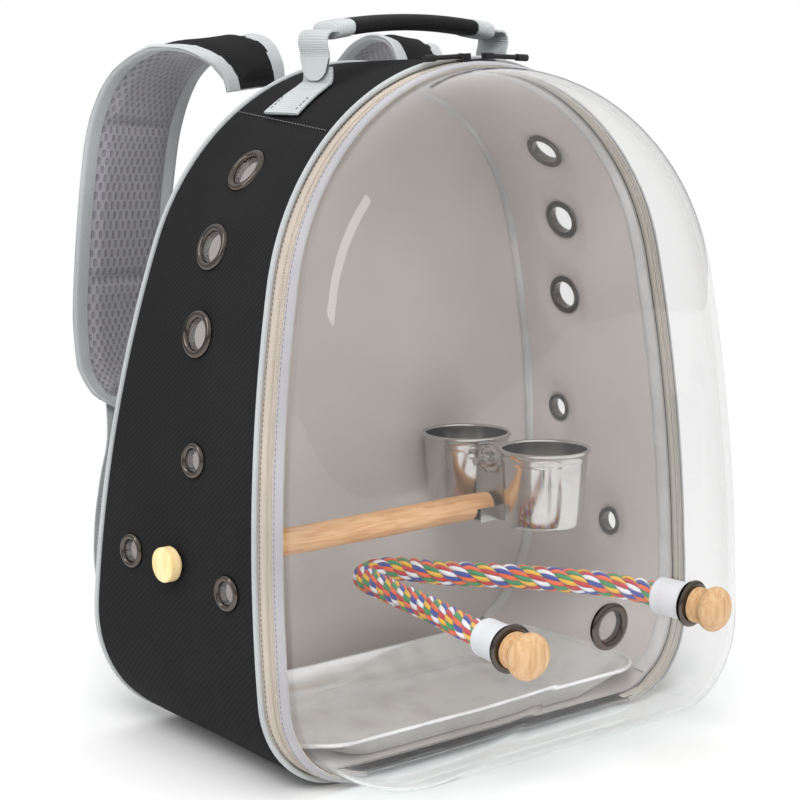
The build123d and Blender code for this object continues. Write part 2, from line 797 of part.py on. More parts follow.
# bracket: a web across both cups, a saddle on each and a channel under the perch's tongue
bracket_foot = perch_height - bracket_drop
bracket_top = cup_foot + cup_height - bracket_top_gap
web_half = cup_spread - sqrt(cup_bottom_radius**2 - cup_reach**2) - touch
bracket = Pos(bracket_x, perch_y, bracket_foot) * Box(
    bracket_sheet, 2 * web_half, bracket_top - bracket_foot,
    align=(Align.MIN, Align.CENTER, Align.MIN))
saddle_low = bracket_foot + bracket_margin
saddle_high = bracket_top - bracket_margin
for y, way in zip(cup_ys, (Align.MIN, Align.MAX)):
    window = Pos(bracket_x, y, saddle_low) * Box(
        2 * cup_reach, saddle_width, saddle_high - saddle_low, align=(Align.MIN, way, Align.MIN))
    bracket += (cup_outside(y, bracket_sheet + touch) - cup_outside(y, touch)) & window
for y in cup_ys:
    bracket -= cup_outside(y, touch)
channel_width = 2 * (perch_radius - bracket_sheet)
channel = Pos(bracket_x, perch_y, bracket_foot) * Box(
    tongue_length, channel_width, bracket_drop - touch,
    align=(Align.MAX, Align.CENTER, Align.MIN))
channel -= Pos(bracket_x, perch_y, bracket_foot + bracket_sheet) * Box(
    tongue_length, channel_width - 2 * bracket_sheet, bracket_drop,
    align=(Align.MAX, Align.CENTER, Align.MIN))
bracket += channel
bolt_axis = Plane(origin=(bracket_x, perch_y, perch_height + bolt_rise), x_dir=(0, 1, 0),
                  z_dir=(-1, 0, 0))
bracket -= disc(bolt_axis, bolt_radius + eyelet_ease, 0.0, -bolt_reach, bolt_reach)
bolt_head_radius = 2 * bolt_radius
bracket_bolt = disc(bolt_axis, bolt_radius, 0.0, -bracket_sheet, bolt_reach)
bracket_bolt += disc(bolt_axis, bolt_head_radius, 0.0, -bracket_sheet - bolt_head, -bracket_sheet)
spring_washer = disc(bolt_axis, spring_radius, bolt_radius + eyelet_ease, 0.0, spring_plate)
spring_washer += disc(bolt_axis, spring_radius, spring_radius - spring_lip, spring_plate,
                      2 * spring_plate)
nut_start = spring_plate + running_gap
wing_nut = disc(bolt_axis, bolt_head_radius, 0.0, nut_start, nut_start + nut_height)
wing_middle = nut_start + 2 * running_gap + spring_plate + wing_height / 2
for side in (-1, 1):
    wing = bolt_axis * Pos(side * (bolt_radius + wing_reach) / 2, 0, wing_middle) * Box(
        wing_reach - bolt_radius, wing_thickness, wing_height)
    tips = sorted(wing.edges().filter_by(Axis.Z),
                  key=lambda edge: -(edge.center() - bolt_axis.origin).length)[:2]
    wing_nut += fillet(tips, wing_height * 0.4)
wing_nut -= disc(bolt_axis, bolt_radius + shaft_gap, 0.0, 0.0, 2 * bolt_reach)

tongue_x = bracket_x - tongue_length / 2
tongue_screw = Pos(tongue_x, perch_y, bracket_foot) * Cylinder(
    tongue_screw_radius, bracket_drop + perch_radius / 2,
    align=(Align.CENTER, Align.CENTER, Align.MIN))
tongue_screw += Pos(tongue_x, perch_y, bracket_foot) * Cylinder(
    2 * tongue_screw_radius, tongue_screw_head, align=(Align.CENTER, Align.CENTER, Align.MAX))
bracket -= tongue_screw
perch_dowel -= tongue_screw

cup_rivets = []
for y, side in zip(cup_ys, (1, -1)):
    for height in (saddle_low + rivet_margin, saddle_high - rivet_margin):
        away = Vector(-cup_reach / 2, side * rivet_reach, 0).normalized()
        radius = cup_bottom_radius + (cup_top_radius - cup_bottom_radius) * (
            height - cup_foot) / cup_height
        inner_end = radius - cup_wall - rivet_head
        rivet_axis = Plane(origin=Vector(cup_x, y, height) + away * inner_end, z_dir=away)
        rivet = disc(rivet_axis, rivet_radius, 0.0, 0.0,
                     cup_wall + touch + bracket_sheet + 2 * rivet_head)
        cup_rivets.append(rivet)
        bracket -= rivet
        if side > 0:
            cup_front -= rivet
        else:
            cup_rear -= rivet


# ---------------------------------------------------------------- tray
def reach_at(outline, height):
    """Half width of an outline at a height on its lower corner."""
    x, z = outline.corner()
    return x + sqrt(outline.corner_radius**2 - (z - height) ** 2)


tray_half_width = reach_at(front_outline(cabin_inset), tray_rim_height) - tray_side_gap
tray_front = front_y - tray_front_reach
tray_back = back_y - tray_back_gap


def tray_wire(height, skin):
    """Rounded rectangle of the tray's wall at a height."""
    share = (tray_rim_height - height) / (tray_rim_height - cabin_inset)
    half = tray_half_width - tray_slope * share - skin
    front = tray_front + tray_front_slope * share + skin
    back = tray_back - tray_front_slope * share - skin
    corner = tray_corner - tray_corner_slope * share - skin
    sketch = Plane.XY.offset(height) * Pos(0, (front + back) / 2) * RectangleRounded(
        2 * half, back - front, corner)
    return sketch.face().outer_wire()


tray_floor = cabin_inset + touch
tray = block([tray_wire(tray_floor, 0), tray_wire(tray_rim_height, 0)])
tray -= block([tray_wire(tray_floor + tray_wall, 2 * tray_wall),
               tray_wire(tray_rim_height + tray_wall, 2 * tray_wall)])
tray += tube(tray_wire(tray_rim_height - tray_bead / 2, tray_wall), tray_bead)

# ---------------------------------------------------------------- handle
handle_reach = (front_crown_radius + back_crown_radius) / 2
handle_crown = top_height(handle_y) - handle_reach
handle_fold_height = handle_crown + sqrt(handle_reach**2 - leg_base_x**2) + leg_clearance
handle_pivot_height = handle_fold_height + webbing_width / 2
grip_end_height = handle_pivot_height + grip_rise
leg_stations = [
    (leg_base_x, 0.0),
    (leg_base_x, 3.0),
    (leg_base_x + leg_bulge * 0.7, 6.0),
    (leg_base_x + leg_bulge, grip_rise - 5.0),
    (leg_base_x + leg_bulge * 0.4, grip_rise - 1.5),
    (leg_base_x - 2.0, grip_rise + 0.7),
    (grip_half_length + 0.1, grip_rise + 1.0),
]


def fold_plane(side):
    """Plane on the line the handle swings about, facing outward."""
    return Plane(origin=(side * leg_base_x, handle_y, handle_pivot_height), x_dir=(0, 1, 0),
                 z_dir=(1, 0, 0))


def handle_leg(side):
    """Webbing up to the grip's end, with a round lower end about the swing line."""
    stations = [((side * x, handle_y, handle_pivot_height + rise), webbing_width)
                for x, rise in leg_stations]
    leg = ribbon(stations, webbing_thickness, (0, 1, 0))
    half_round = disc(fold_plane(side), webbing_width / 2, 0.0, -webbing_thickness / 2,
                      webbing_thickness / 2)
    lower = Pos(side * leg_base_x, handle_y, handle_pivot_height) * Box(
        webbing_width, 2 * webbing_width, webbing_width,
        align=(Align.CENTER, Align.CENTER, Align.MAX))
    return leg + (half_round & lower)


handle_webbing = [handle_leg(side) for side in (-1, 1)]


def grip_wire(x, width, height):
    """Rounded section of the grip at a distance along it."""
    rise = grip_sag * (1 - (x / grip_half_length) ** 2)
    place = Plane(origin=(x, handle_y, grip_end_height + 1 + rise), x_dir=(0, 1, 0),
                  z_dir=(1, 0, 0))
    return (place * RectangleRounded(width, height, height * 0.45)).face().outer_wire()


grip_steps = 6
grip_end = grip_half_length - wrap_length
handle_grip = block([grip_wire(-grip_end + 2 * grip_end * step / grip_steps, grip_width,
                               grip_thickness) for step in range(grip_steps + 1)])
handle_end_wraps = []
for side in (-1, 1):
    near = side * (grip_end + shaft_gap)
    far = side * grip_half_length
    handle_end_wraps.append(block([
        grip_wire(near, grip_width + wrap_thickness, grip_thickness + 2 * wrap_thickness),
        grip_wire(far, webbing_width + wrap_thickness, grip_thickness - 2)]))

bag_block = block([closed_wire(front_bag, front_plane()), closed_wire(back_bag, panel_back)])


def handle_anchor(side):
    """Sewn foot of the handle's webbing, cupped round the leg's round end."""
    seam = (seam_front + seam_back) / 2
    reach = handle_reach + anchor_lift
    turn = acos((leg_base_x + 2 * webbing_thickness) / reach)
    stations = []
    for step in range(anchor_steps + 1):
        share = step / anchor_steps
        angle = seam + (turn - seam) * share
        stations.append(((side * reach * cos(angle), handle_y, handle_crown + reach * sin(angle)),
                         webbing_width + anchor_spread * (1 - share)))
    for rise in (0.2, 0.5, 1.0):
        height = handle_fold_height + (handle_pivot_height - handle_fold_height) * rise
        stations.append(((side * leg_base_x, handle_y, height), webbing_width))
    strip = ribbon(stations, webbing_thickness, (0, 1, 0))
    swept = webbing_width / 2 / cos(radians(handle_swing / 2)) + running_gap
    strip -= disc(fold_plane(side), swept, 0.0, -webbing_width, webbing_width)
    return (strip - bag_block).solids().sort_by(SortBy.VOLUME)[-1]


handle_anchors = [handle_anchor(side) for side in (-1, 1)]

# ---------------------------------------------------------------- shoulder straps
# centre line of the left pad: x, then y behind the back panel's foot, drop below the back
# panel's top, and width
pad_places = [
    (-64.0, -23.4, 16.3, 40.0),
    (-65.0, -19.7, 4.3, 43.0),
    (-67.5, -11.0, -4.7, 47.0),
    (-72.0, 7.0, -8.7, 54.0),
    (-78.0, 31.0, -3.7, 61.0),
    (-84.0, 54.0, 12.3, 66.0),
    (-88.5, 68.0, 39.3, 68.0),
    (-90.5, 75.5, 74.3, 68.0),
    (-92.0, 81.0, 117.3, 68.0),
    (-93.0, 84.0, 157.3, 68.0),
    (-93.0, 82.0, 187.3, 66.0),
    (-93.0, 76.5, 205.3, 56.0),
    (-93.0, 72.0, 216.3, 34.0),
]
# the buckle and its webbing: x, y behind the pad's back, drop below the buckle, and width
buckle_x, buckle_behind, buckle_drop = -93.0, 3.06, 198.3
tab_places = [
    (-93.0, 1.4, -34.0, strap_webbing_width),
    (-93.0, 3.3, -13.0, strap_webbing_width),
]
webbing_upper_places = [
    (-93.5, 3.2, 13.0, strap_webbing_width),
    (-96.5, 1.0, 38.0, strap_webbing_width),
]
# the webbing's lower half is sewn to the bag's foot: x, y as above, height and width
webbing_lower_places = [
    (-102.0, 78.0, 130.0, strap_webbing_width),
    (-107.0, 77.0, 102.0, strap_webbing_width),
    (-112.0, 69.0, 76.0, strap_webbing_width),
    (-115.0, 51.0, 54.0, strap_webbing_width),
    (-117.0, 26.0, 37.0, strap_webbing_width),
    (-118.0, -1.1, 25.0, strap_webbing_width),
]


def hung(places):
    """Places measured from the back panel's top."""
    return [(x, back_y + y, back_height - drop, width) for x, y, drop, width in places]


def behind_pad(drop):
    """How far the pad's back lies behind the back panel's foot, at a drop from the top."""
    spine = [(place_drop, y) for _, y, place_drop, _ in pad_places[3:]]
    for (high, near), (low, far) in zip(spine, spine[1:]):
        if drop <= low:
            return near + (far - near) * (drop - high) / (low - high) + pad_thickness / 2
    return spine[-1][1] + pad_thickness / 2


def on_pad(places):
    """Places measured from the buckle and from the pad's back."""
    return hung([(x, behind_pad(buckle_drop + drop) + y, buckle_drop + drop, width)
                 for x, y, drop, width in places])


webbing_places = on_pad(webbing_upper_places) + [
    (x, back_y + y, height, width) for x, y, height, width in webbing_lower_places]


def strap_band(places, thickness, side, roll=0.0):
    """Band along a strap's centre line on one side of the bag."""
    stations = [((-side * x, y, z), width) for x, y, z, width in places]
    return ribbon(stations, thickness, (1, 0, 0), roll * -side)


def strap_buckle(side):
    """Ladder buckle: a frame with a middle bar."""
    turn = radians(buckle_tilt)
    origin = (-side * buckle_x, back_y + behind_pad(buckle_drop) + buckle_behind,
              back_height - buckle_drop)
    plane = Plane(origin=origin, x_dir=(1, 0, 0), z_dir=(0, cos(turn), -sin(turn)))
    frame = plane * Box(strap_webbing_width + 2 * buckle_margin, buckle_length, buckle_thickness)
    slot = (buckle_length - 3 * buckle_bar) / 2
    for way in (-1, 1):
        frame -= plane * Pos(0, way * (buckle_bar + slot) / 2) * Box(
            strap_webbing_width + 1, slot, buckle_thickness + 2)
    return frame


strap_pads = {side: strap_band(hung(pad_places), pad_thickness, side, pad_roll)
              for side in (-1, 1)}
strap_webbing = {}
for side in (-1, 1):
    strap_webbing[side] = group([strap_band(places, strap_webbing_thickness, side)
                                 for places in (webbing_places, on_pad(tab_places))])

# ---------------------------------------------------------------- zip sliders
track = band_outline(level_share)
track_top = track.crown_radius + coil_height
track_bottom = track.crown_radius - tape_thickness
plate_back = tape_flat_depth + shaft_gap
plate_front = 2 * band_middle - plate_back
upper_plate = track_top + running_gap
lower_plate = track_bottom - running_gap - slider_plate
pivot_reach = upper_plate + slider_plate + slider_eye + 0.5


def sector(low, high, angle, half_angle, depth, half_depth):
    """Curved bar on the crown between two radii, centred on a depth."""
    arcs = [(0.0, track.crown_height, high, angle + half_angle, angle - half_angle)]
    return block([band_wire(arcs, high - low, front_plane(depth + way * half_depth))
                  for way in (-1, 1)])


def slider_and_pull(side):
    """Slider on the coils and its cord pull lying along the band."""
    angle = pi / 2 - side * radians(slider_rest_angle)
    half = slider_length / 2 / track_top
    half_depth = (plate_front - plate_back) / 2
    body = sector(upper_plate, upper_plate + slider_plate, angle, half, band_middle, half_depth)
    body += sector(lower_plate, lower_plate + slider_plate, angle, half, band_middle, half_depth)
    body += sector(lower_plate, upper_plate + slider_plate, angle, half * 0.45, band_middle,
                   slider_web / 2)
    body += sector(upper_plate, pivot_reach + slider_eye, angle, half * 0.36, band_middle,
                   slider_web)
    middle = front_plane(band_middle)
    centre = middle.from_local_coords((pivot_reach * cos(angle),
                                       track.crown_height + pivot_reach * sin(angle)))
    away = (middle.x_dir * sin(angle) - middle.y_dir * cos(angle)) * side
    pivot = Plane(origin=centre, x_dir=away, z_dir=middle.z_dir)
    body -= disc(pivot, pin_radius + pin_gap, 0.0, -slider_length, slider_length)
    pin_half = ear_spread + ear_thickness / 2
    pull = disc(pivot, pin_radius, 0.0, -pin_half, pin_half)
    for way in (-1, 1):
        pull += pivot * Pos(pull_start / 2 - 0.3, 0, way * ear_spread) * Box(
            pull_start + 1.0, 2 * pull_radius, ear_thickness)
    cord = Plane(origin=centre + away * pull_start, z_dir=away)
    cord_end = pull_length - pull_tip
    pull += disc(cord, pull_radius + ear_thickness / 2, 0.0, -2 * ear_thickness, 1.0)
    pull += disc(cord, pull_radius, 0.0, 1.0, cord_end)
    pull += disc(cord, pull_radius + ear_thickness, 0.0, cord_end, pull_length)
    return body, pull


sliders = {}
pulls = {}
for side in (-1, 1):
    sliders[side], pulls[side] = slider_and_pull(side)

# ---------------------------------------------------------------- files
pieces = {
    "back_panel": back_panel,
    "back_board": back_board,
    "lining_back": lining_back,
    "top_panel": top_panel,
    "side_panel_left": side_panel_left,
    "side_panel_right": side_panel_right,
    "base_panel": base_panel,
    "base_board": base_board,
    "lining_sides": lining_sides,
    "piping_front": piping_front,
    "piping_back": piping_back,
    "seam_binding_front": seam_binding_front,
    "seam_binding_rear": seam_binding_rear,
    "zip_tape_bag": zip_tape_bag,
    "zip_coil_bag": zip_coil_bag,
    "hinge_tape_bag": hinge_tape_bag,
    "side_eyelets": group(side_eyelets),
    "side_eyelet_washers": group(side_washers),
    "side_vent_mesh": group(side_mesh),
    "handle_anchors": group(handle_anchors),
    "handle_webbing": group(handle_webbing),
    "handle_grip": handle_grip,
    "handle_end_wraps": group(handle_end_wraps),
    "perch_dowel": perch_dowel,
    "perch_screw": perch_screw,
    "perch_knob": perch_knob,
    "tongue_screw": tongue_screw,
    "cup_bracket": bracket,
    "cup_front": cup_front,
    "cup_rear": cup_rear,
    "cup_rivets": group(cup_rivets),
    "bracket_bolt": bracket_bolt,
    "spring_washer": spring_washer,
    "wing_nut": wing_nut,
    "tray": tray,
    "dome_shell": dome_shell,
    "dome_binding": dome_binding,
    "zip_tape_door": zip_tape_door,
    "zip_coil_door": zip_coil_door,
    "hinge_tape_door": hinge_tape_door,
    "dome_eyelets": group(dome_eyelets),
    "dome_eyelet_washers": group(dome_washers),
    "dome_vent_mesh": dome_mesh,
    "rope_perch": rope_perch,
    "rope_caps": group(rope_caps),
    "rope_screws": group(rope_screws),
}
for side, word in ((-1, "left"), (1, "right")):
    pieces[f"rope_knob_{word}"] = rope_knobs[(side + 1) // 2]
    pieces[f"strap_pad_{word}"] = strap_pads[side]
    pieces[f"strap_webbing_{word}"] = strap_webbing[side]
    pieces[f"strap_buckle_{word}"] = strap_buckle(side)
    pieces[f"zip_slider_{word}"] = sliders[side]
    pieces[f"zip_pull_{word}"] = pulls[side]
for name, shape in pieces.items():
    keep(shape, name)
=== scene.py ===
"""Dresses the bird travel carrier: cloth bag, clear dome, perches, feeding cups and tray."""

import logging
from dataclasses import dataclass
from enum import Enum
from functools import lru_cache
from math import acos, asin, atan2, copysign, cos, exp, hypot, pi, radians, sin, sqrt
from typing import Callable, Sequence

import bpy
import numpy as np
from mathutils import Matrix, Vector
from mathutils.bvhtree import BVHTree


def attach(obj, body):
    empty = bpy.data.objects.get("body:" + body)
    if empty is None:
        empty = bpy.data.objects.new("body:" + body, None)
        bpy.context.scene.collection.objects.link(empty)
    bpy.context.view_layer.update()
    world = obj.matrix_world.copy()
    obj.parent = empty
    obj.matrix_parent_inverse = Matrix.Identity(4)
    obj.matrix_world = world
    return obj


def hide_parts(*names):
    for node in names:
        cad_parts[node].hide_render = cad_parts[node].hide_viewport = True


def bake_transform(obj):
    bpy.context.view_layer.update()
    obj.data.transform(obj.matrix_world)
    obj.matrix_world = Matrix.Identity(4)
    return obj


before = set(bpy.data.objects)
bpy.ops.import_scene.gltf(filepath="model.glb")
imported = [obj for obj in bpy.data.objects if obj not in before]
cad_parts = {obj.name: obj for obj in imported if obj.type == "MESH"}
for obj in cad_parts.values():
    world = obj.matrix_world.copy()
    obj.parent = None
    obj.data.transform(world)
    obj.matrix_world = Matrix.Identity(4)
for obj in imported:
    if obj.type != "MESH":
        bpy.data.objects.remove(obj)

MM = 0.001
LOG = logging.getLogger("carrier")
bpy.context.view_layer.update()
Place = Callable[[float, float], Vector]
Material = bpy.types.Material
Piece = bpy.types.Object


# ------------------------------------------------------------------ materials
def linear(hex_colour: str) -> tuple[float, float, float, float]:
    """Turns an sRGB hex colour into linear light.

    Args:
        hex_colour: colour such as "#c9cbcc".

    Returns:
        Linear red, green, blue and an alpha of 1.
    """
    parts = [int(hex_colour[i : i + 2], 16) / 255 for i in (1, 3, 5)]
    curve = [c / 12.92 if c <= 0.04045 else ((c + 0.055) / 1.055) ** 2.4 for c in parts]
    return (*curve, 1.0)


def add_node(tree: bpy.types.NodeTree, kind: str, links: dict | None = None,
             **settings: object) -> bpy.types.Node:
    """Adds a node with its settings, values and links.

    Args:
        tree: the node tree of a material or world.
        kind: node type without the ShaderNode prefix.
        links: input name or index to a value or to an output socket.
        settings: attributes of the node.

    Returns:
        The new node.
    """
    node = tree.nodes.new("ShaderNode" + kind)
    for key, value in settings.items():
        setattr(node, key, value)
    for key, value in (links or {}).items():
        if isinstance(value, bpy.types.NodeSocket):
            tree.links.new(value, node.inputs[key])
        else:
            node.inputs[key].default_value = value
    return node


class Recipe:
    """A material under construction, with one way to add nodes."""

    def __init__(self, name: str) -> None:
        """Starts a material that holds one Principled shader."""
        self.material = bpy.data.materials.new(name)
        self.material.use_nodes = True
        self.tree = self.material.node_tree
        self.shader = self.tree.nodes["Principled BSDF"]
        self.output = self.tree.nodes["Material Output"]

    def node(self, kind: str, links: dict | None = None, **settings: object) -> bpy.types.Node:
        """Adds a node to the material, as add_node does."""
        return add_node(self.tree, kind, links, **settings)

    def math(self, operation: str, first: object, second: object = 0.0) -> bpy.types.NodeSocket:
        """Adds a Math node and returns its output."""
        return self.node("Math", {0: first, 1: second}, operation=operation).outputs[0]

    def blend(self, factor: object, low: object, high: object) -> bpy.types.NodeSocket:
        """Mixes two colours and returns the result's socket."""
        return self.node("Mix", {0: factor, 6: low, 7: high}, data_type="RGBA").outputs[2]

    def ramp(self, value: object, low: float, high: float, to: tuple = (0.0, 1.0)) -> object:
        """Maps a range of values to another range, smoothly and within its ends."""
        return self.node("MapRange", {"Value": value, "From Min": low, "From Max": high,
                                      "To Min": to[0], "To Max": to[1]},
                         interpolation_type="SMOOTHSTEP").outputs[0]

    def set(self, **values: object) -> None:
        """Sets or links inputs of the Principled shader; underscores stand for spaces."""
        for key, value in values.items():
            name = key.replace("_", " ")
            if isinstance(value, bpy.types.NodeSocket):
                self.tree.links.new(value, self.shader.inputs[name])
            else:
                self.shader.inputs[name].default_value = value

    def bump(self, height: object, distance_mm: float, strength: float = 1.0) -> None:
        """Lifts the surface by a height pattern."""
        node = self.node("Bump", {"Height": height, "Distance": distance_mm * MM,
                                  "Strength": strength})
        self.tree.links.new(node.outputs[0], self.shader.inputs["Normal"])


class Weave(Enum):
    """How the threads of a cloth lie."""

    PLAIN = "over and under"
    TWILL = "diagonal ribs"
    RIBBED = "ribs across the tape"
    HERRINGBONE = "diagonals that turn at the middle"
    AIR_MESH = "staggered long holes"


@dataclass(frozen=True)
class Cloth:
    """A woven or knitted cloth on the piece's own UV map, which is in metres."""

    name: str
    light: str
    dark: str
    weave: Weave
    thread_mm: float
    depth_mm: float = 0.12
    rough: float = 0.8
    sheen: float = 0.2
    mottle: float = 0.12
    gloss: float = 0.25

    def pattern(self, make: Recipe, u: object, v: object) -> object:
        """Height of the threads, from 0 to 1."""
        turn = 2 * pi / (self.thread_mm * MM)
        warp = make.math("SINE", make.math("MULTIPLY", u, turn))
        weft = make.math("SINE", make.math("MULTIPLY", v, turn))
        if self.weave is Weave.PLAIN:
            wave = make.math("MULTIPLY", warp, weft)
        elif self.weave is Weave.TWILL:
            slant = make.math("ADD", u, make.math("MULTIPLY", v, 0.7))
            lines = make.math("SINE", make.math("MULTIPLY", slant, turn * 0.7))
            wave = make.math("ADD", make.math("MULTIPLY", lines, 0.75),
                             make.math("MULTIPLY", make.math("MULTIPLY", warp, weft), 0.25))
        elif self.weave is Weave.RIBBED:
            wave = make.math("ADD", make.math("MULTIPLY", weft, 0.8),
                             make.math("MULTIPLY", warp, 0.2))
        elif self.weave is Weave.HERRINGBONE:
            fold = make.math("PINGPONG", u, self.thread_mm * MM * 2)
            slant = make.math("ADD", fold, v)
            wave = make.math("SINE", make.math("MULTIPLY", slant, turn))
        else:
            across = make.math("COSINE", make.math("MULTIPLY", u, turn / 2))
            along = make.math("COSINE", make.math("MULTIPLY", v, turn / 3.2))
            cell = make.math("MULTIPLY", across, along)
            return make.ramp(cell, 0.12, 0.42, (1.0, 0.0))
        return make.math("MULTIPLY_ADD", wave, 0.5)

    def build(self) -> Material:
        """Makes the material."""
        make = Recipe(self.name)
        uv = make.node("SeparateXYZ", {0: make.node("UVMap").outputs[0]})
        height = self.pattern(make, uv.outputs[0], uv.outputs[1])
        if self.weave is not Weave.AIR_MESH:
            height.node.inputs[2].default_value = 0.5
        where = make.node("TexCoord").outputs["Object"]
        cloud = make.node("TexNoise", {"Vector": where, "Scale": 14.0, "Detail": 3.0})
        fuzz = make.node("TexNoise", {"Vector": where, "Scale": 900.0, "Detail": 1.0})
        # Painted shade and highlight: the colour is darkest in the weave's valleys and holes and
        # lightest on its crests, with fine random fibres.
        shade = make.math("ADD", height, make.math("MULTIPLY_ADD", fuzz.outputs[0], 0.5))
        base = make.blend(make.ramp(shade, -0.1, 1.3), linear(self.dark), linear(self.light))
        # Soft random clouds in the tone; on the satin lining they are painted shade of its folds.
        mottle_and_fold_shade = make.ramp(cloud.outputs[0], 0.3, 0.7, (1 - self.mottle, 1 + self.mottle * 0.4))
        tone = make.node("HueSaturation", {"Color": base, "Value": mottle_and_fold_shade})
        make.set(Base_Color=tone.outputs[0], Roughness=self.rough, Sheen_Weight=self.sheen,
                 Sheen_Roughness=0.5, Specular_IOR_Level=self.gloss)
        make.bump(make.math("ADD", height, make.math("MULTIPLY", fuzz.outputs[0], 0.4)),
                  self.depth_mm)
        return make.material


@dataclass(frozen=True)
class Metal:
    """A plated, polished or brushed metal."""

    name: str
    colour: str
    rough: float
    smudge: float = 0.08
    brushed_mm: float = 0.0
    axis: int = 2
    metallic: float = 1.0

    def build(self) -> Material:
        """Makes the material."""
        make = Recipe(self.name)
        where = make.node("TexCoord").outputs["Object"]
        smear = make.node("TexNoise", {"Vector": where, "Scale": 55.0, "Detail": 4.0})
        rough = make.ramp(smear.outputs[0], 0.3, 0.75, (self.rough, self.rough + self.smudge))
        darker = tuple(c * 0.82 for c in linear(self.colour)[:3]) + (1.0,)
        tone = make.blend(make.ramp(smear.outputs[0], 0.25, 0.6), darker, linear(self.colour))
        make.set(Base_Color=tone, Metallic=self.metallic, Roughness=rough)
        if self.brushed_mm:
            scale = [1.0 / (self.brushed_mm * MM)] * 3
            scale[self.axis] = 12.0
            lines = make.node("Mapping", {"Vector": where, "Scale": scale})
            grain = make.node("TexNoise", {"Vector": lines.outputs[0], "Scale": 1.0,
                                           "Detail": 2.0})
            make.bump(grain.outputs[0], 0.03, 0.5)
        return make.material


@dataclass(frozen=True)
class Wood:
    """Bare sanded wood with its grain along one axis."""

    name: str
    pale: str
    grain: str
    axis: int
    ring_mm: float
    fleck: float = 0.35

    def build(self) -> Material:
        """Makes the material."""
        make = Recipe(self.name)
        where = make.node("TexCoord").outputs["Object"]
        stretch = [1.0, 1.0, 1.0]
        stretch[self.axis] = 0.09
        along = make.node("Mapping", {"Vector": where, "Scale": stretch}).outputs[0]
        warp = make.node("TexNoise", {"Vector": along, "Scale": 60.0, "Detail": 3.0})
        lines = make.node("TexNoise", {"Vector": along, "Scale": 1.0 / (self.ring_mm * MM),
                                       "Detail": 4.0, "Distortion": 0.6})
        pores = make.node("TexNoise", {"Vector": along, "Scale": 1600.0, "Detail": 1.0})
        rings = make.ramp(lines.outputs[0], 0.38, 0.66)
        base = make.blend(rings, linear(self.pale), linear(self.grain))
        flecks = make.ramp(pores.outputs[0], 0.62, 0.74, (0.0, self.fleck))
        dotted = make.blend(flecks, base, linear(self.grain))
        value = make.ramp(warp.outputs[0], 0.3, 0.7, (0.93, 1.05))
        tone = make.node("HueSaturation", {"Color": dotted, "Value": value})
        rough = make.ramp(rings, 0.0, 1.0, (0.42, 0.55))
        make.set(Base_Color=tone.outputs[0], Roughness=rough)
        make.bump(lines.outputs[0], 0.05, 0.5)
        return make.material


@dataclass(frozen=True)
class Moulded:
    """A moulded plastic or rubber with a fine grain."""

    name: str
    colour: str
    rough: float
    grain_mm: float = 0.5

    def build(self) -> Material:
        """Makes the material."""
        make = Recipe(self.name)
        where = make.node("TexCoord").outputs["Object"]
        grain = make.node("TexNoise", {"Vector": where, "Scale": 1 / (self.grain_mm * MM),
                                       "Detail": 2.0})
        patch = make.node("TexNoise", {"Vector": where, "Scale": 40.0, "Detail": 2.0})
        darker = tuple(c * 0.9 for c in linear(self.colour)[:3]) + (1.0,)
        tone = make.blend(make.ramp(patch.outputs[0], 0.3, 0.7), darker, linear(self.colour))
        rough = make.ramp(patch.outputs[0], 0.3, 0.7, (self.rough, self.rough + 0.1))
        make.set(Base_Color=tone, Roughness=rough)
        make.bump(grain.outputs[0], 0.02, 0.6)
        return make.material


@dataclass(frozen=True)
class ClearSheet:
    """Vacuum formed PET sheet: clear and colourless, with mirror highlights and a faint haze."""

    name: str = "clear_pet_sheet"
    colour: str = "#fafafa"

    def build(self) -> Material:
        """Makes the material; lamps reach what is behind it."""
        make = Recipe(self.name)
        where = make.node("TexCoord").outputs["Object"]
        haze = make.node("TexNoise", {"Vector": where, "Scale": 30.0, "Detail": 3.0})
        rough = make.ramp(haze.outputs[0], 0.35, 0.75, (0.0, 0.03))
        make.set(Base_Color=linear(self.colour), Transmission_Weight=1.0, IOR=1.45,
                 Roughness=rough)
        clear = make.node("BsdfTransparent", {"Color": linear("#fbfdfd")})
        path = make.node("LightPath")
        open_way = make.math("MAXIMUM", path.outputs["Is Shadow Ray"],
                             path.outputs["Is Diffuse Ray"])
        mix = make.node("MixShader", {0: open_way, 1: make.shader.outputs[0],
                                      2: clear.outputs[0]})
        make.tree.links.new(mix.outputs[0], make.output.inputs[0])
        return make.material


@dataclass(frozen=True)
class Gauze:
    """Fine knitted polyester mesh: mid grey, what lies behind shows through its holes."""

    name: str = "vent_gauze"
    colour: str = "#a9a9aa"
    hole_mm: float = 1.1

    def build(self) -> Material:
        """Makes the material, see-through in its holes."""
        make = Recipe(self.name)
        uv = make.node("SeparateXYZ", {0: make.node("UVMap").outputs[0]})
        turn = 2 * pi / (self.hole_mm * MM)
        across = make.math("COSINE", make.math("MULTIPLY", uv.outputs[0], turn))
        along = make.math("COSINE", make.math("MULTIPLY", uv.outputs[1], turn))
        cell = make.math("ADD", across, along)
        hole = make.ramp(cell, -1.2, -0.6)
        make.set(Base_Color=linear(self.colour), Roughness=0.6)
        make.bump(make.math("MULTIPLY", cell, -0.5), 0.1)
        clear = make.node("BsdfTransparent")
        mix = make.node("MixShader", {0: hole, 1: make.shader.outputs[0], 2: clear.outputs[0]})
        make.tree.links.new(mix.outputs[0], make.output.inputs[0])
        return make.material


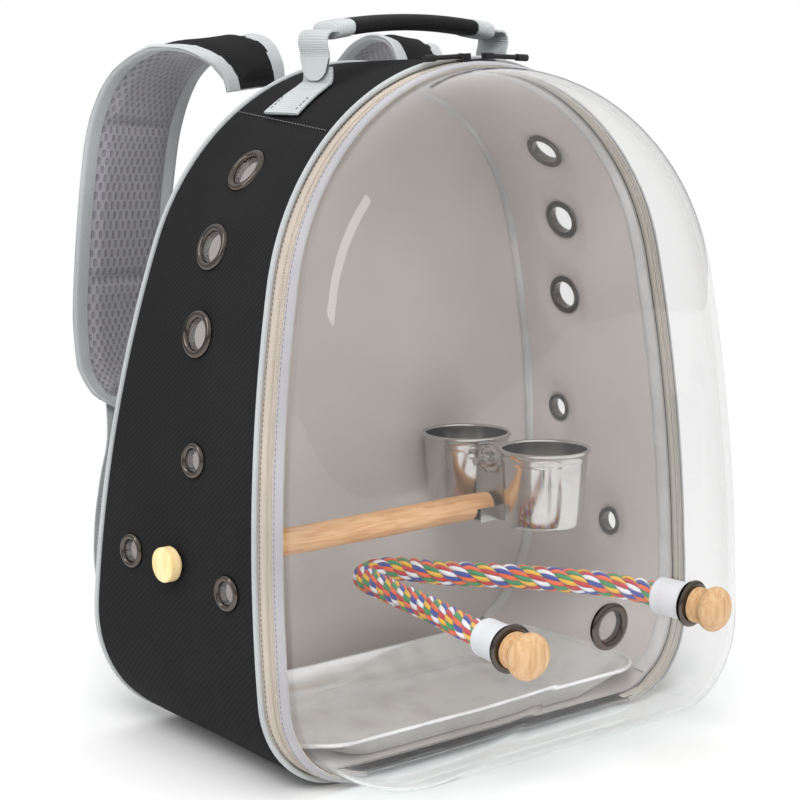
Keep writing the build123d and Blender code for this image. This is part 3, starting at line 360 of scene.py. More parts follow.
@dataclass(frozen=True)
class CottonStrand:
    """Dyed cotton yarns, six colours side by side: matte, fuzzy; painted shade between the yarns,
    painted highlight on their crests.
    """

    name: str = "cotton_yarns"
    yarns: tuple[str, ...] = ("#c8202c", "#f2f0f5", "#2f3f9e", "#f0622a", "#2f8f57", "#f2b92a")

    def build(self) -> Material:
        """Makes the material; the UV map's first axis goes once round the strand."""
        make = Recipe(self.name)
        uv = make.node("SeparateXYZ", {0: make.node("UVMap").outputs[0]})
        ramp = make.node("ValToRGB", {0: make.math("FRACT", uv.outputs[0])})
        ramp.color_ramp.interpolation = "CONSTANT"
        points = ramp.color_ramp.elements
        for index, colour in enumerate(self.yarns):
            spot = points[index] if index < 2 else points.new(index / len(self.yarns))
            spot.position = index / len(self.yarns)
            spot.color = linear(colour)
        plies = make.math("SINE", make.math("ADD", make.math(
            "MULTIPLY", uv.outputs[0], 2 * pi * len(self.yarns)), 4.7))
        twist = make.math("SINE", make.math("ADD", make.math(
            "MULTIPLY", uv.outputs[1], 2 * pi / (1.3 * MM)), make.math(
            "MULTIPLY", uv.outputs[0], 2 * pi * len(self.yarns))))
        where = make.node("TexCoord").outputs["Object"]
        fuzz = make.node("TexNoise", {"Vector": where, "Scale": 1500.0, "Detail": 2.0})
        # Painted shade and highlight: the colour darkens between the yarns and brightens on their
        # crests.
        shade = make.ramp(make.math("ADD", plies, fuzz.outputs[0]), -0.8, 0.6, (0.7, 1.15))
        tone = make.node("HueSaturation", {"Color": ramp.outputs[0], "Value": shade})
        make.set(Base_Color=tone.outputs[0], Roughness=0.85, Sheen_Weight=0.25)
        height = make.math("ADD", plies, make.math("MULTIPLY", twist, 0.35))
        make.bump(make.math("ADD", height, fuzz.outputs[0]), 0.3)
        return make.material


# Coated 900D polyester: near black, with coarse slanting ribs whose crests carry a painted soft
# grey highlight.
OXFORD = Cloth("black_oxford_cloth", "#272728", "#010101", Weave.TWILL, 2.3, 0.3, 0.85, 0.0,
               0.1, 0.08)
# Thin polyester satin: warm grey, smooth, softly shiny; soft random clouds in its colour are
# painted shade of its folds.
LINING = Cloth("grey_satin_lining", "#d2c8c4", "#b2a8a4", Weave.PLAIN, 0.9, 0.05, 0.55, 0.25,
               0.06)
# Woven bias tape over a cord: light grey, matte, with slanting threads.
PIPING = Cloth("grey_piping", "#bcbfc0", "#85888a", Weave.TWILL, 1.0, 0.1, 0.6, 0.3)
# Velvet seam tape: its short pile turns pale at the edges, and painted shade darkens it where it is
# pressed.
VELVET = Cloth("grey_velvet_tape", "#f0edec", "#b4b1b0", Weave.PLAIN, 1.4, 0.5, 0.6, 0.5, 0.3)
# Woven zip tape: cream, flat and matte, with a fine herringbone.
ZIP_TAPE = Cloth("cream_zip_tape", "#d8cdc1", "#b0a598", Weave.HERRINGBONE, 1.0, 0.08)
# Grosgrain edge binding: pale lavender grey with fine cross ribs.
BINDING = Cloth("lavender_grey_binding", "#b4b2b6", "#88868b", Weave.RIBBED, 0.8, 0.08, 0.6, 0.3)
# Ribbed sleeve over foam: deep black, its ribs show as thin grey lines of painted highlight.
GRIP = Cloth("black_grip_cloth", "#1f1f20", "#030303", Weave.RIBBED, 1.7, 0.4, 0.7, 0.04, 0.1,
             0.12)
# Polypropylene strap webbing: mid grey, thick cross ribs with a dull shine.
STRAP_WEB = Cloth("grey_strap_webbing", "#b4b8b9", "#6f7476", Weave.RIBBED, 1.6, 0.3, 0.6)
# Heavy handle webbing: light grey, cross ribs with painted shade in their valleys.
WEBBING = Cloth("grey_webbing", "#bfc4c5", "#7d8385", Weave.RIBBED, 1.5, 0.25, 0.6, 0.3)
# Woven binding sewn over the pads' edges: mid grey, fine herringbone.
STRAP_EDGE = Cloth("grey_strap_binding", "#c8cbcd", "#8b8f91", Weave.HERRINGBONE, 1.3, 0.2)
# Spacer mesh: pale knit with rows of long holes, painted dark for the layer below them and for the
# shade in them.
AIR_MESH = Cloth("grey_air_mesh", "#a09ea4", "#423f48", Weave.AIR_MESH, 2.2, 0.6, 0.7, 0.3, 0.1)
# Padded back mesh: black knit, its holes painted darker still with shade.
BLACK_MESH = Cloth("black_air_mesh", "#2a2a2c", "#080809", Weave.AIR_MESH, 2.6, 0.5, 0.75, 0.1)
# Plated brass eyelets: dark warm mirror with sharp highlights.
GUNMETAL = Metal("gunmetal_plating", "#625b56", 0.12)
# Polished stainless sheet: bright mirror, slightly smudged by handling.
STEEL = Metal("polished_stainless", "#d6d3cf", 0.1, 0.1)
# Thin pressed stainless tray: satin mirror, only half metallic; its near white base is a painted
# reflection of the pale room.
TRAY_STEEL = Metal("pressed_tray_steel", "#f8f8f7", 0.14, 0.03, metallic=0.5)
# Brushed stainless strip: grey, highlights drawn out along fine lines.
BRUSHED = Metal("brushed_stainless", "#c4c2be", 0.25, 0.12, 0.4)
# Enamelled zinc slider: glossy black with small bright edges.
BLACK_STEEL = Moulded("black_enamelled_zinc", "#1b1b1c", 0.3)
# Nylon coil: cream, satin, its turns show as a fine bead.
ZIP_NYLON = Moulded("cream_nylon_coil", "#d9cfc3", 0.45)
# Sanded beech dowel: pinkish tan, fine grain and short dark flecks.
BEECH = Wood("beech_dowel_wood", "#f0be8a", "#dca06b", 0, 2.2, 0.25)
# Turned pine: pale yellow, faint growth rings, satin where the tool burnished it.
KNOB_WOOD = Wood("turned_pine", "#d8b48a", "#ca9d70", 2, 2.0, 0.1)
# Turned birch: very pale, nearly without grain, matte.
PALE_WOOD = Wood("turned_birch", "#ffe6b0", "#f6d494", 2, 2.5, 0.1)
# Moulded polypropylene: cool white, satin, light enters it a little.
WHITE_CAP = Moulded("white_polypropylene", "#ececf2", 0.35)
# Coated pull cord: black, rubbery, a broad dull highlight.
BLACK_CORD = Moulded("black_coated_cord", "#161617", 0.5)
# Moulded acetal buckle: black, fine grain, satin.
BLACK_ACETAL = Moulded("black_acetal", "#1c1c1e", 0.4)
# Polyester sewing thread: grey, twisted, it stands out as short dashes.
THREAD = Moulded("grey_sewing_thread", "#77777a", 0.7)
# Dark polyester thread: barely lighter than the cloth that it sinks into.
DARK_THREAD = Moulded("dark_sewing_thread", "#3a3a3d", 0.7)


@lru_cache(maxsize=None)
def finish_of(finish: object) -> Material:
    """Builds each finish once."""
    return finish.build()


# ------------------------------------------------------------------ meshes
def deselect() -> None:
    """Leaves nothing selected."""
    bpy.ops.object.select_all(action="DESELECT")


def choose(piece: Piece) -> None:
    """Selects one piece and makes it active."""
    deselect()
    piece.select_set(True)
    bpy.context.view_layer.objects.active = piece


def edit(piece: Piece, *steps: Callable[[], object]) -> None:
    """Runs steps in edit mode with the whole mesh selected."""
    choose(piece)
    bpy.ops.object.mode_set(mode="EDIT")
    bpy.ops.mesh.select_all(action="SELECT")
    for step in steps:
        step()
    bpy.ops.object.mode_set(mode="OBJECT")


def modify(piece: Piece, kind: str, **settings: object) -> None:
    """Adds a modifier and applies it."""
    choose(piece)
    modifier = piece.modifiers.new(kind.lower(), kind)
    for key, value in settings.items():
        setattr(modifier, key, value)
    bpy.ops.object.modifier_apply(modifier=modifier.name)


def line_length(points: Sequence[Vector]) -> float:
    """Length of a line through points."""
    return sum((b - a).length for a, b in zip(points, points[1:]))


def profile_length(points: Sequence[tuple[float, float]]) -> float:
    """Length of a flat line through pairs of numbers."""
    return sum(hypot(b[0] - a[0], b[1] - a[1]) for a, b in zip(points, points[1:]))


def distances(points: Sequence[Vector]) -> np.ndarray:
    """Distance along a line of each of its points from the first one."""
    return np.r_[0, np.cumsum([(b - a).length for a, b in zip(points, points[1:])])]


def heading(points: Sequence[Vector], index: int) -> Vector:
    """Direction of a line at one of its points, from its neighbours."""
    return (points[min(index + 1, len(points) - 1)] - points[max(index - 1, 0)]).normalized()


def both_faces(s: float) -> tuple[int, float]:
    """Splits one way round a flat strip into its face (1 or -1) and a share from -1 to 1."""
    turn = s * 2
    return (1, 2 * turn - 1) if turn < 1 else (-1, 3 - 2 * turn)


def spread(place: Place, fixed: float, first: bool) -> float:
    """Length of a surface's middle line, in metres."""
    return line_length([place(i / 48, fixed) if first else place(fixed, i / 48)
                        for i in range(49)])


def wrap(name: str, columns: int, rows: int, place: Place, closed: bool = False,
         outward: bool = True, lengths: tuple[float, float] | None = None) -> Piece:
    """Adds a grid and lays it on a surface, with a UV map in metres.

    Args:
        name: the piece's name.
        columns: faces along the first share.
        rows: faces along the second share.
        place: gives a point for two shares from 0 to 1.
        closed: merges the seam and recalculates the normals.
        outward: which way recalculated normals point.
        lengths: size of the UV map, measured on the surface if left out.

    Returns:
        The new piece.
    """
    deselect()
    bpy.ops.mesh.primitive_grid_add(x_subdivisions=columns, y_subdivisions=rows, size=2.0)
    piece = bpy.context.object
    piece.name = piece.data.name = name
    mesh = piece.data
    flat = np.zeros(len(mesh.vertices) * 3)
    mesh.vertices.foreach_get("co", flat)
    shares = (flat.reshape(-1, 3)[:, :2] + 1) / 2
    spots = np.array([place(float(s), float(t)) for s, t in shares])
    mesh.vertices.foreach_set("co", spots.ravel())
    wide, long = lengths or (spread(place, 0.5, True), spread(place, 0.5, False))
    corners = np.zeros(len(mesh.loops), dtype=np.int32)
    mesh.loops.foreach_get("vertex_index", corners)
    mesh.uv_layers.active.data.foreach_set("uv", (shares[corners] * (wide, long)).ravel())
    mesh.update()
    if closed:
        edit(piece, lambda: bpy.ops.mesh.remove_doubles(threshold=2e-5),
             lambda: bpy.ops.mesh.normals_make_consistent(inside=not outward))
    choose(piece)
    bpy.ops.object.shade_smooth()
    return piece


def soften(piece: Piece, degrees: float) -> None:
    """Shades a piece smooth, and keeps edges that turn by more than an angle."""
    choose(piece)
    bpy.ops.object.shade_smooth_by_angle(angle=radians(degrees))


def close_ends(piece: Piece) -> None:
    """Fills the open ends of a tube and points its faces outward."""
    edit(piece, lambda: bpy.ops.mesh.select_all(action="DESELECT"),
         lambda: bpy.ops.mesh.select_mode(type="EDGE"),
         lambda: bpy.ops.mesh.select_non_manifold(),
         lambda: bpy.ops.mesh.fill_holes(sides=0),
         lambda: bpy.ops.mesh.select_mode(type="VERT"),
         lambda: bpy.ops.mesh.select_all(action="SELECT"),
         lambda: bpy.ops.mesh.normals_make_consistent(inside=False))
    soften(piece, 50)


def join(name: str, pieces: Sequence[Piece]) -> Piece:
    """Joins pieces into one, which takes the given name."""
    deselect()
    for piece in pieces:
        piece.select_set(True)
    bpy.context.view_layer.objects.active = pieces[0]
    bpy.ops.object.join()
    joined = bpy.context.object
    joined.name = joined.data.name = name
    return joined


def smooth_line(points: Sequence[Sequence[float]], count: int) -> list[Vector]:
    """Points evenly spaced in share along a smooth line through the given points.

    Args:
        points: what the line passes through; each may hold more than three numbers.
        count: how many points to return.

    Returns:
        The points on a Catmull-Rom line.
    """
    known = [np.array(p, dtype=float) for p in points]
    known = [2 * known[0] - known[1]] + known + [2 * known[-1] - known[-2]]
    line = []
    for index in range(count):
        spot = index / (count - 1) * (len(known) - 3)
        span = min(int(spot), len(known) - 4)
        t = spot - span
        a, b, c, d = known[span : span + 4]
        line.append(Vector(0.5 * (2 * b + (c - a) * t + (2 * a - 5 * b + 4 * c - d) * t**2
                                  + (3 * b - a - 3 * c + d) * t**3)))
    return line


def frames(points: Sequence[Vector], side: Vector) -> list[tuple[Vector, Vector, Vector]]:
    """Frames carried along a line without twisting: place, side and second side."""
    result = []
    for index, point in enumerate(points):
        ahead = heading(points, index)
        side = (side - ahead * side.dot(ahead)).normalized()
        result.append((point, side, ahead.cross(side)))
    return result


def tube(name: str, points: Sequence[Vector], radius: float | Callable[[float], float],
         sides: int = 12, loop: bool = False, side: Vector = Vector((0, 0, 1))) -> Piece:
    """Round bar along points, in metres."""
    track = frames(points, side)
    reach = radius if callable(radius) else lambda share: radius

    def place(s: float, t: float) -> Vector:
        """Point on the bar."""
        index = round(t * (len(points) - 1))
        middle, first, second = track[index]
        if loop and index == len(points) - 1:
            middle, first, second = track[0]
        turn = 2 * pi * s
        return middle + (first * cos(turn) + second * sin(turn)) * reach(t)

    piece = wrap(name, sides, len(points) - 1, place, True,
                 lengths=(2 * pi * reach(0.5), line_length(points)))
    if not loop:
        close_ends(piece)
    return piece


def turned(name: str, profile: Sequence[tuple[float, float]], origin: Vector, axis: Vector,
           steps: int = 48) -> Piece:
    """Turns a profile of (radius, height) in millimetres round an axis.

    Args:
        name: the piece's name.
        profile: points from one pole to the other, or a closed loop.
        origin: where height 0 lies.
        axis: which way height grows.
        steps: faces round the axis.

    Returns:
        The new piece.
    """
    axis = axis.normalized()
    first = axis.orthogonal().normalized()
    second = axis.cross(first)

    def place(s: float, t: float) -> Vector:
        """Point on the turned surface."""
        radius, height = profile[round(t * (len(profile) - 1))]
        turn = 2 * pi * s
        return origin + (axis * height + (first * cos(turn) + second * sin(turn)) * radius) * MM

    width = 2 * pi * max(r for r, _ in profile) * MM
    piece = wrap(name, steps, len(profile) - 1, place, True,
                 lengths=(width, profile_length(profile) * MM))
    soften(piece, 40)
    return piece


def arc(cx: float, cy: float, radius: float, start: float, end: float,
        steps: int = 6) -> list[tuple[float, float]]:
    """Points on an arc, with angles in degrees."""
    turns = [radians(start + (end - start) * i / steps) for i in range(steps + 1)]
    return [(cx + radius * cos(t), cy + radius * sin(t)) for t in turns]


def cut(piece: Piece, bores: Sequence[tuple[Vector, Vector]], radius: float,
        depth: float) -> None:
    """Bores round holes through a piece at places along axes, sizes in metres."""
    drills = []
    for place, axis in bores:
        deselect()
        bpy.ops.mesh.primitive_cylinder_add(
            vertices=40, radius=radius, depth=depth, location=place,
            rotation=axis.to_track_quat("Z", "Y").to_euler())
        drills.append(bpy.context.object)
    drill = join("drill", drills)
    choose(drill)
    bpy.ops.object.transform_apply(location=True, rotation=True, scale=True)
    modify(piece, "BOOLEAN", object=drill, operation="DIFFERENCE", solver="EXACT")
    bpy.data.objects.remove(drill)


def dress(piece: Piece, body: str, finishes: Sequence[object],
          stands_for: Sequence[str] = ()) -> Piece:
    """Gives a piece its materials and body, and reports it.

    Args:
        piece: the finished mesh.
        body: the body it moves with.
        finishes: one finish for each material index.
        stands_for: CAD nodes that it replaces.

    Returns:
        The same piece.
    """
    piece.data.materials.clear()
    for finish in finishes:
        piece.data.materials.append(finish_of(finish))
    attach(piece, body)
    if stands_for:
        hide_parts(*stands_for)
    LOG.info("%s: %d faces", piece.name, len(piece.data.polygons))
    return piece


def keep_node(name: str, finish: object) -> None:
    """Gives a CAD node that stays its finish."""
    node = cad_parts[name]
    node.data.materials.clear()
    node.data.materials.append(finish_of(finish))
    LOG.info("%s kept", name)


def stitches(name: str, line: Sequence[Vector], pitch_mm: float, length_mm: float,
             radius_mm: float, lift: Vector | Sequence[Vector]) -> Piece:
    """Row of sewn stitches along a line, each a short rounded bar.

    Args:
        name: the piece's name.
        line: points along the seam.
        pitch_mm: distance from one stitch to the next.
        length_mm: length of each stitch.
        radius_mm: half thickness of the thread.
        lift: direction away from the cloth, one or one for each point.

    Returns:
        The new piece.
    """
    spots = np.array([list(p) for p in line])
    steps = np.r_[0, np.cumsum(np.linalg.norm(np.diff(spots, axis=0), axis=1))]
    count = max(1, int(steps[-1] / (pitch_mm * MM)))

    def along(distance: float) -> Vector:
        """Point at a distance along the seam."""
        return Vector([float(np.interp(distance, steps, spots[:, k])) for k in range(3)])

    bars = []
    for index in range(count):
        middle = (index + 0.5) * steps[-1] / count
        start, end = (along(middle + way * length_mm * MM / 2) for way in (-1, 1))
        ahead = (end - start).normalized()
        up = lift
        if not isinstance(lift, Vector):
            up = lift[min(int(middle / steps[-1] * len(lift)), len(lift) - 1)]
        across = ahead.cross(up).normalized()
        for share, scale in ((0.0, 0.35), (0.3, 1.0), (0.7, 1.0), (1.0, 0.35)):
            centre = start.lerp(end, share)
            ring = [centre + (across * cos(a) + up * (sin(a) * 0.8 + 0.2)) * radius_mm * MM * scale
                    for a in (0.8, 2.35, 3.9, 5.5)]
            bars.append(ring)
    corners = [list(p) for ring in bars for p in ring]
    faces = []
    for bar in range(count):
        for ring in range(3):
            low = (bar * 4 + ring) * 4
            faces += [[low + k, low + (k + 1) % 4, low + 4 + (k + 1) % 4, low + 4 + k]
                      for k in range(4)]
        first, last = bar * 16, bar * 16 + 12
        faces += [[first + 3, first + 2, first + 1, first], [last, last + 1, last + 2, last + 3]]
    mesh = bpy.data.meshes.new(name)
    mesh.from_pydata(corners, [], faces)
    piece = bpy.data.objects.new(name, mesh)
    bpy.context.scene.collection.objects.link(piece)
    edit(piece, lambda: bpy.ops.mesh.normals_make_consistent(inside=False))
    choose(piece)
    bpy.ops.object.shade_smooth()
    return piece


# ------------------------------------------------------------------ outlines of the bag
@dataclass(frozen=True)
class Arch:
    """Arch of tangent arcs on a flat foot, in millimetres, walked by a number from 0 to 6.

    0 to 1 is the left lower corner, then the left side, the crown, the right side, the right
    lower corner, and the foot from right to left.
    """

    crown_height: float
    crown_radius: float
    side_x: float
    side_height: float
    side_radius: float
    corner_radius: float
    foot: float

    @classmethod
    def sized(cls, sizes: Sequence[float], inset: float = 0.0, lift: float = 0.0,
              foot: float | None = None, corner: float | None = None) -> "Arch":
        """Makes an arch from its height, half width, crown radius, widest height and corner.

        Args:
            sizes: those five sizes.
            inset: how far the arch moves inward.
            lift: how far it moves up.
            foot: height of the foot, the inset if left out.
            corner: radius of the lower corners.

        Returns:
            The arch.
        """
        height, half_width, crown_radius, widest, corner_radius = sizes
        rise = height - crown_radius - widest
        side_radius = (half_width**2 + rise**2 - crown_radius**2) / (
            2 * (half_width - crown_radius))
        return cls(height - crown_radius + lift, crown_radius - inset, half_width - side_radius,
                   widest + lift, side_radius - inset,
                   corner_radius - inset if corner is None else corner,
                   inset if foot is None else foot)

    def arcs(self) -> list[tuple[float, float, float, float, float]]:
        """Centre, radius, first and last angle of the five arcs from the left foot."""
        z = self.foot + self.corner_radius
        reach = self.side_radius - self.corner_radius
        x = self.side_x + sqrt(reach**2 - (z - self.side_height) ** 2)
        shoulder = atan2(self.crown_height - self.side_height, -self.side_x)
        heel = atan2(z - self.side_height, x - self.side_x)
        right = [(self.side_x, self.side_height, self.side_radius, shoulder, heel),
                 (x, z, self.corner_radius, heel, -pi / 2)]
        left = [(-x0, z0, r, pi - end, pi - start) for x0, z0, r, start, end in reversed(right)]
        return left + [(0.0, self.crown_height, self.crown_radius, pi - shoulder,
                        shoulder)] + right

    def at(self, walk: float) -> tuple[float, float, float, float]:
        """Place and outward direction at a walk: x, z, and the direction's x and z."""
        arcs = arcs_of(self)
        walk = walk % 6.0 if walk != 6.0 else 6.0
        if walk >= 5.0:
            x = arcs[4][0] * (1 - 2 * (walk - 5.0))
            return x, self.foot, 0.0, -1.0
        index = min(int(walk), 4)
        x, z, radius, start, end = arcs[index]
        turn = start + (end - start) * (walk - index)
        return x + radius * cos(turn), z + radius * sin(turn), cos(turn), sin(turn)

    def crown_walk(self, degrees_up: float) -> float:
        """Walk of the crown's point at an angle above the horizontal, on the right."""
        _, _, _, start, end = arcs_of(self)[2]
        return 2 + (radians(degrees_up) - start) / (end - start)

    def half_width(self, height: float) -> float:
        """Half width at a height."""
        shoulder, heel = arcs_of(self)[3][3:]
        x0, z0, radius, _, _ = arcs_of(self)[4]
        if height <= z0 + radius * sin(heel):
            drop = min(abs(height - z0), radius)
            return x0 + sqrt(radius**2 - drop**2)
        if height <= self.side_height + self.side_radius * sin(shoulder):
            return self.side_x + sqrt(self.side_radius**2 - (height - self.side_height) ** 2)
        rise = min(height - self.crown_height, self.crown_radius)
        return sqrt(max(0.0, self.crown_radius**2 - rise**2))


@lru_cache(maxsize=None)
def arcs_of(arch: Arch) -> list[tuple[float, float, float, float, float]]:
    """The arcs of an arch, worked out once."""
    return arch.arcs()


@dataclass(frozen=True)
class Face:
    """A leaning plane that an arch is drawn on."""

    y: float
    lean: float

    def place(self, x: float, z: float, depth: float = 0.0) -> Vector:
        """Point in metres; depth moves it toward the dome."""
        size = sqrt(1 + self.lean**2)
        return Vector((x, self.y - depth + z * self.lean / size, z / size)) * MM


FRONT_SIZES = (395.3, 165.0, 149.7, 93.5, 54.7)
BACK_SIZES = (392.3, 173.5, 145.3, 65.0, 81.6)
FRONT = Face(-78.0, 0.054)
BACK = Face(79.0, -0.078)
BACK_WALL = 4.0
GUSSET_DEPTH = 157.0
FRONT_SEAM = 48.7
BACK_SEAM = 54.8
CABIN_INSET = 6.0


@lru_cache(maxsize=None)
def front_arch(inset: float = 0.0, foot: float | None = None) -> Arch:
    """Arch of the opening, moved inward."""
    return Arch.sized(FRONT_SIZES, inset, foot=foot)


@lru_cache(maxsize=None)
def back_arch(inset: float = 0.0, foot: float | None = None) -> Arch:
    """Arch of the back panel, moved inward."""
    return Arch.sized(BACK_SIZES, inset, foot=foot)


def gusset_point(front_walk: float, back_walk: float, share: float, inset: float = 0.0,
                 shift: float = 0.0) -> Vector:
    """Point between the opening (share 0) and the back panel (share 1).

    Args:
        front_walk: walk along the front arch.
        back_walk: walk along the back arch.
        share: how far back the point lies.
        inset: distance of both arches from the outside, which picks the layer.
        shift: extra distance inward in millimetres.

    Returns:
        The point in metres.
    """
    x0, z0, nx0, nz0 = front_arch(inset).at(front_walk)
    x1, z1, nx1, nz1 = back_arch(inset).at(back_walk)
    near = FRONT.place(x0 - nx0 * shift, z0 - nz0 * shift)
    far = BACK.place(x1 - nx1 * shift, z1 - nz1 * shift, BACK_WALL)
    return near.lerp(far, share)


def hoop_walks(arch: Arch, count: int, start: float = 0.0, end: float = 5.0) -> list[float]:
    """Walks that lie evenly along an arch, by its length."""
    fine = [start + (end - start) * i / 600 for i in range(601)]
    spots = [arch.at(w)[:2] for w in fine]
    steps = np.r_[0, np.cumsum([hypot(b[0] - a[0], b[1] - a[1])
                                for a, b in zip(spots, spots[1:])])]
    return [float(np.interp(steps[-1] * i / count, steps, fine)) for i in range(count + 1)]


@lru_cache(maxsize=None)
def surface_tree(*nodes: str) -> BVHTree:
    """Search tree of the surfaces of one or more CAD nodes."""
    corners, faces = [], []
    for node in nodes:
        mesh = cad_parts[node].data
        mesh.calc_loop_triangles()
        faces += [[i + len(corners) for i in t.vertices] for t in mesh.loop_triangles]
        corners += [v.co.copy() for v in mesh.vertices]
    return BVHTree.FromPolygons(corners, faces)


def wrinkle(x: float, y: float, z: float) -> float:
    """Smooth unevenness of cloth, from about -1 to 1, for a place in millimetres."""
    return (sin(x / 23 + 1.3 * sin(z / 41)) * cos(z / 31 + y / 19)
            + 0.6 * sin(y / 13 + z / 17 + 0.7 * sin(x / 29)) + 0.4 * cos(x / 9 + z / 12)) / 2


# ------------------------------------------------------------------ the cloth bag
@dataclass(frozen=True)
class Bag:
    """Gusset, back, lining, piping and the tape over the inner seams."""

    wall: float = 4.6
    seam_pull: float = 1.0
    piping_radius: float = 1.6
    piping_inset: float = 1.2
    back_bulge: float = 2.0
    eyelet_large: tuple[float, float] = (13.5, 8.75)
    eyelet_small: tuple[float, float] = (10.0, 6.25)
    large_places: tuple[tuple[tuple[float, float], ...], ...] = (
        ((-7.3, 332.85), (-4.5, 291.9), (-6.6, 245.04)),
        ((-5.4, 337.61), (3.7, 292.54), (13.0, 242.46)))
    small_places: tuple[tuple[tuple[float, float], ...], ...] = (
        ((-16.4, 177.6), (-51.0, 110.5), (35.5, 118.6)),
        ((30.4, 164.8), (-14.2, 95.2), (34.5, 118.8)))
    eyelet_press: float = 2.9
    press_reach: float = 5.0
    panel_radius: float = 400.0
    rim_tube: float = 4.2
    washer_depth: float = 4.0
    column_mm: float = 4.0
    rows: int = 44
    clearance: float = 0.25
    sag: float = 0.35
    lining_outer: float = 5.1
    lining_inner: float = 5.6
    lining_slack: float = 0.55
    channels: tuple[float, ...] = (-62.0, 0.0, 62.0)
    rungs: tuple[float, ...] = (95.0, 190.0, 285.0)
    channel_depth: float = 1.6
    channel_reach: float = 3.0

    def seats(self, side: int) -> list[tuple[Vector, Vector, tuple[float, float]]]:
        """Places and outward directions of one side's eyelets, with their sizes."""
        tree = surface_tree("side_panel_left" if side < 0 else "side_panel_right")
        seats = []
        for places, size in ((self.large_places[side > 0], self.eyelet_large),
                             (self.small_places[side > 0], self.eyelet_small)):
            for y, z in places:
                offset = Vector((0, 0, size[0] + 1)) * MM
                start = Vector((side * 0.3, y * MM, z * MM))
                hits = [tree.ray_cast(start + offset * way, Vector((-side, 0, 0)))
                        for way in (-1, 1)]
                middle = (hits[0][0] + hits[1][0]) / 2
                normal = (hits[0][1] + hits[1][1]).normalized()
                normal = normal if normal.x * side > 0 else -normal
                bow = size[0] ** 2 / 2 / self.panel_radius * MM
                seats.append((middle + normal * bow, normal, size))
        return seats

    def bore(self, piece: Piece, side: int, depth: float) -> None:
        """Bores a piece at the eyelets of one side, the large ones first."""
        for radius in (self.eyelet_large[1], self.eyelet_small[1]):
            bores = [(place, normal) for place, normal, size in self.seats(side)
                     if size[1] == radius]
            cut(piece, bores, (radius + 0.8) * MM, depth)

    def spots(self) -> list[tuple[Vector, float]]:
        """Middle and outer radius of every side eyelet."""
        return [(middle, size[0]) for side in (-1, 1) for middle, _, size in self.seats(side)]

    def pressed(self, spots: Sequence[tuple[Vector, float]], point: Vector) -> float:
        """How far the foam is pressed together by the nearest eyelet, in millimetres."""
        press = 0.0
        for middle, outer in spots:
            away = max(0.0, (point - middle).length / MM - outer)
            press = max(press, self.eyelet_press * exp(-((away / self.press_reach) ** 2)))
        return press

    def shell(self, name: str, front_ends: tuple[float, float],
              back_ends: tuple[float, float], columns: int) -> Piece:
        """One sewn panel of the gusset as a closed cloth and foam shell.

        Args:
            name: the piece's name.
            front_ends: first and last walk on the front arch.
            back_ends: first and last walk on the back arch.
            columns: faces along the arch.

        Returns:
            The new piece.
        """
        fronts = hoop_walks(front_arch(), columns, *front_ends)
        backs = hoop_walks(back_arch(), columns, *back_ends)
        spots = self.spots()

        def place(s: float, t: float) -> Vector:
            """Point of the shell: out over the face, and back along the inside."""
            step = round(s * columns)
            turn = t * 2
            share = turn if turn <= 1 else 2 - turn
            share = min(max(share, 0.002), 0.998)
            edge = min(share, 1 - share) * GUSSET_DEPTH
            along = min(s, 1 - s) * columns * self.column_mm
            spot = gusset_point(fronts[step], backs[step], share) / MM
            rise = self.seam_pull * exp(-min(edge, along) / 5.0)
            shift = (self.clearance + rise
                     + self.sag * (1 + wrinkle(*spot)) * (1 - exp(-edge / 12)))
            if turn > 1:
                shift = self.wall - self.pressed(spots, spot * MM)
            return gusset_point(fronts[step], backs[step], share, shift=shift)

        piece = wrap(name, columns, self.rows * 2, place, True,
                     lengths=(self.column_mm * columns * MM, 2 * GUSSET_DEPTH * MM))
        close_ends(piece)
        return piece

    def gusset(self) -> None:
        """Top, sides and base of the bag, with the eyelets' holes."""
        left_front = 5 - front_arch().crown_walk(FRONT_SEAM)
        left_back = 5 - back_arch().crown_walk(BACK_SEAM)
        right_front, right_back = 5 - left_front, 5 - left_back
        top = self.shell("gusset_top", (left_front, right_front), (left_back, right_back), 76)
        dress(top, "bag", [OXFORD], ["top_panel"])
        for side, word, ends in ((-1, "left", ((0.0, left_front), (0.0, left_back))),
                                 (1, "right", ((right_front, 5.0), (right_back, 5.0)))):
            panel = self.shell(f"gusset_{word}", ends[0], ends[1], 96)
            self.bore(panel, side, 0.03)
            dress(panel, "bag", [OXFORD], [f"side_panel_{word}"])
        base = self.shell("gusset_base", (5.0, 6.0), (5.0, 6.0), 54)
        dress(base, "bag", [OXFORD], ["base_panel", "base_board"])
        for word, way, front, back in (("left", -1, left_front, left_back),
                                       ("right", 1, right_front, right_back)):
            nudge = way * 2.4 * 0.0024
            line = [gusset_point(front + nudge, back + nudge, t / 40, shift=self.clearance)
                    for t in range(1, 40)]
            seam = stitches(f"crown_seam_{word}_lower", line, 3.2, 2.3, 0.32,
                            Vector((way * 0.66, 0, 0.75)))
            dress(seam, "bag", [THREAD])

    def lining(self) -> None:
        """Loose satin lining of the sides and back, holed at the side eyelets."""
        columns = 150
        fronts = hoop_walks(front_arch(), columns, 0.0, 6.0)
        backs = hoop_walks(back_arch(), columns, 0.0, 6.0)
        spots = self.spots()

        def sides(s: float, t: float) -> Vector:
            """Point of the hoop of lining: its inner face, and back along its outer one."""
            step = round(s * columns) % columns
            turn = t * 2
            share = turn if turn <= 1 else 2 - turn
            spot = gusset_point(fronts[step], backs[step], share) / MM
            press = self.pressed(spots, spot * MM)
            if turn > 1:
                return gusset_point(fronts[step], backs[step], share, self.lining_outer, -press)
            edge = min(share, 1 - share) * GUSSET_DEPTH
            slack = self.lining_slack + self.lining_slack * wrinkle(*spot) * (
                1 - exp(-edge / 14))
            slack -= press * (1 + 0.2 * slack / 1.1)
            return gusset_point(fronts[step], backs[step], share, self.lining_inner, slack)

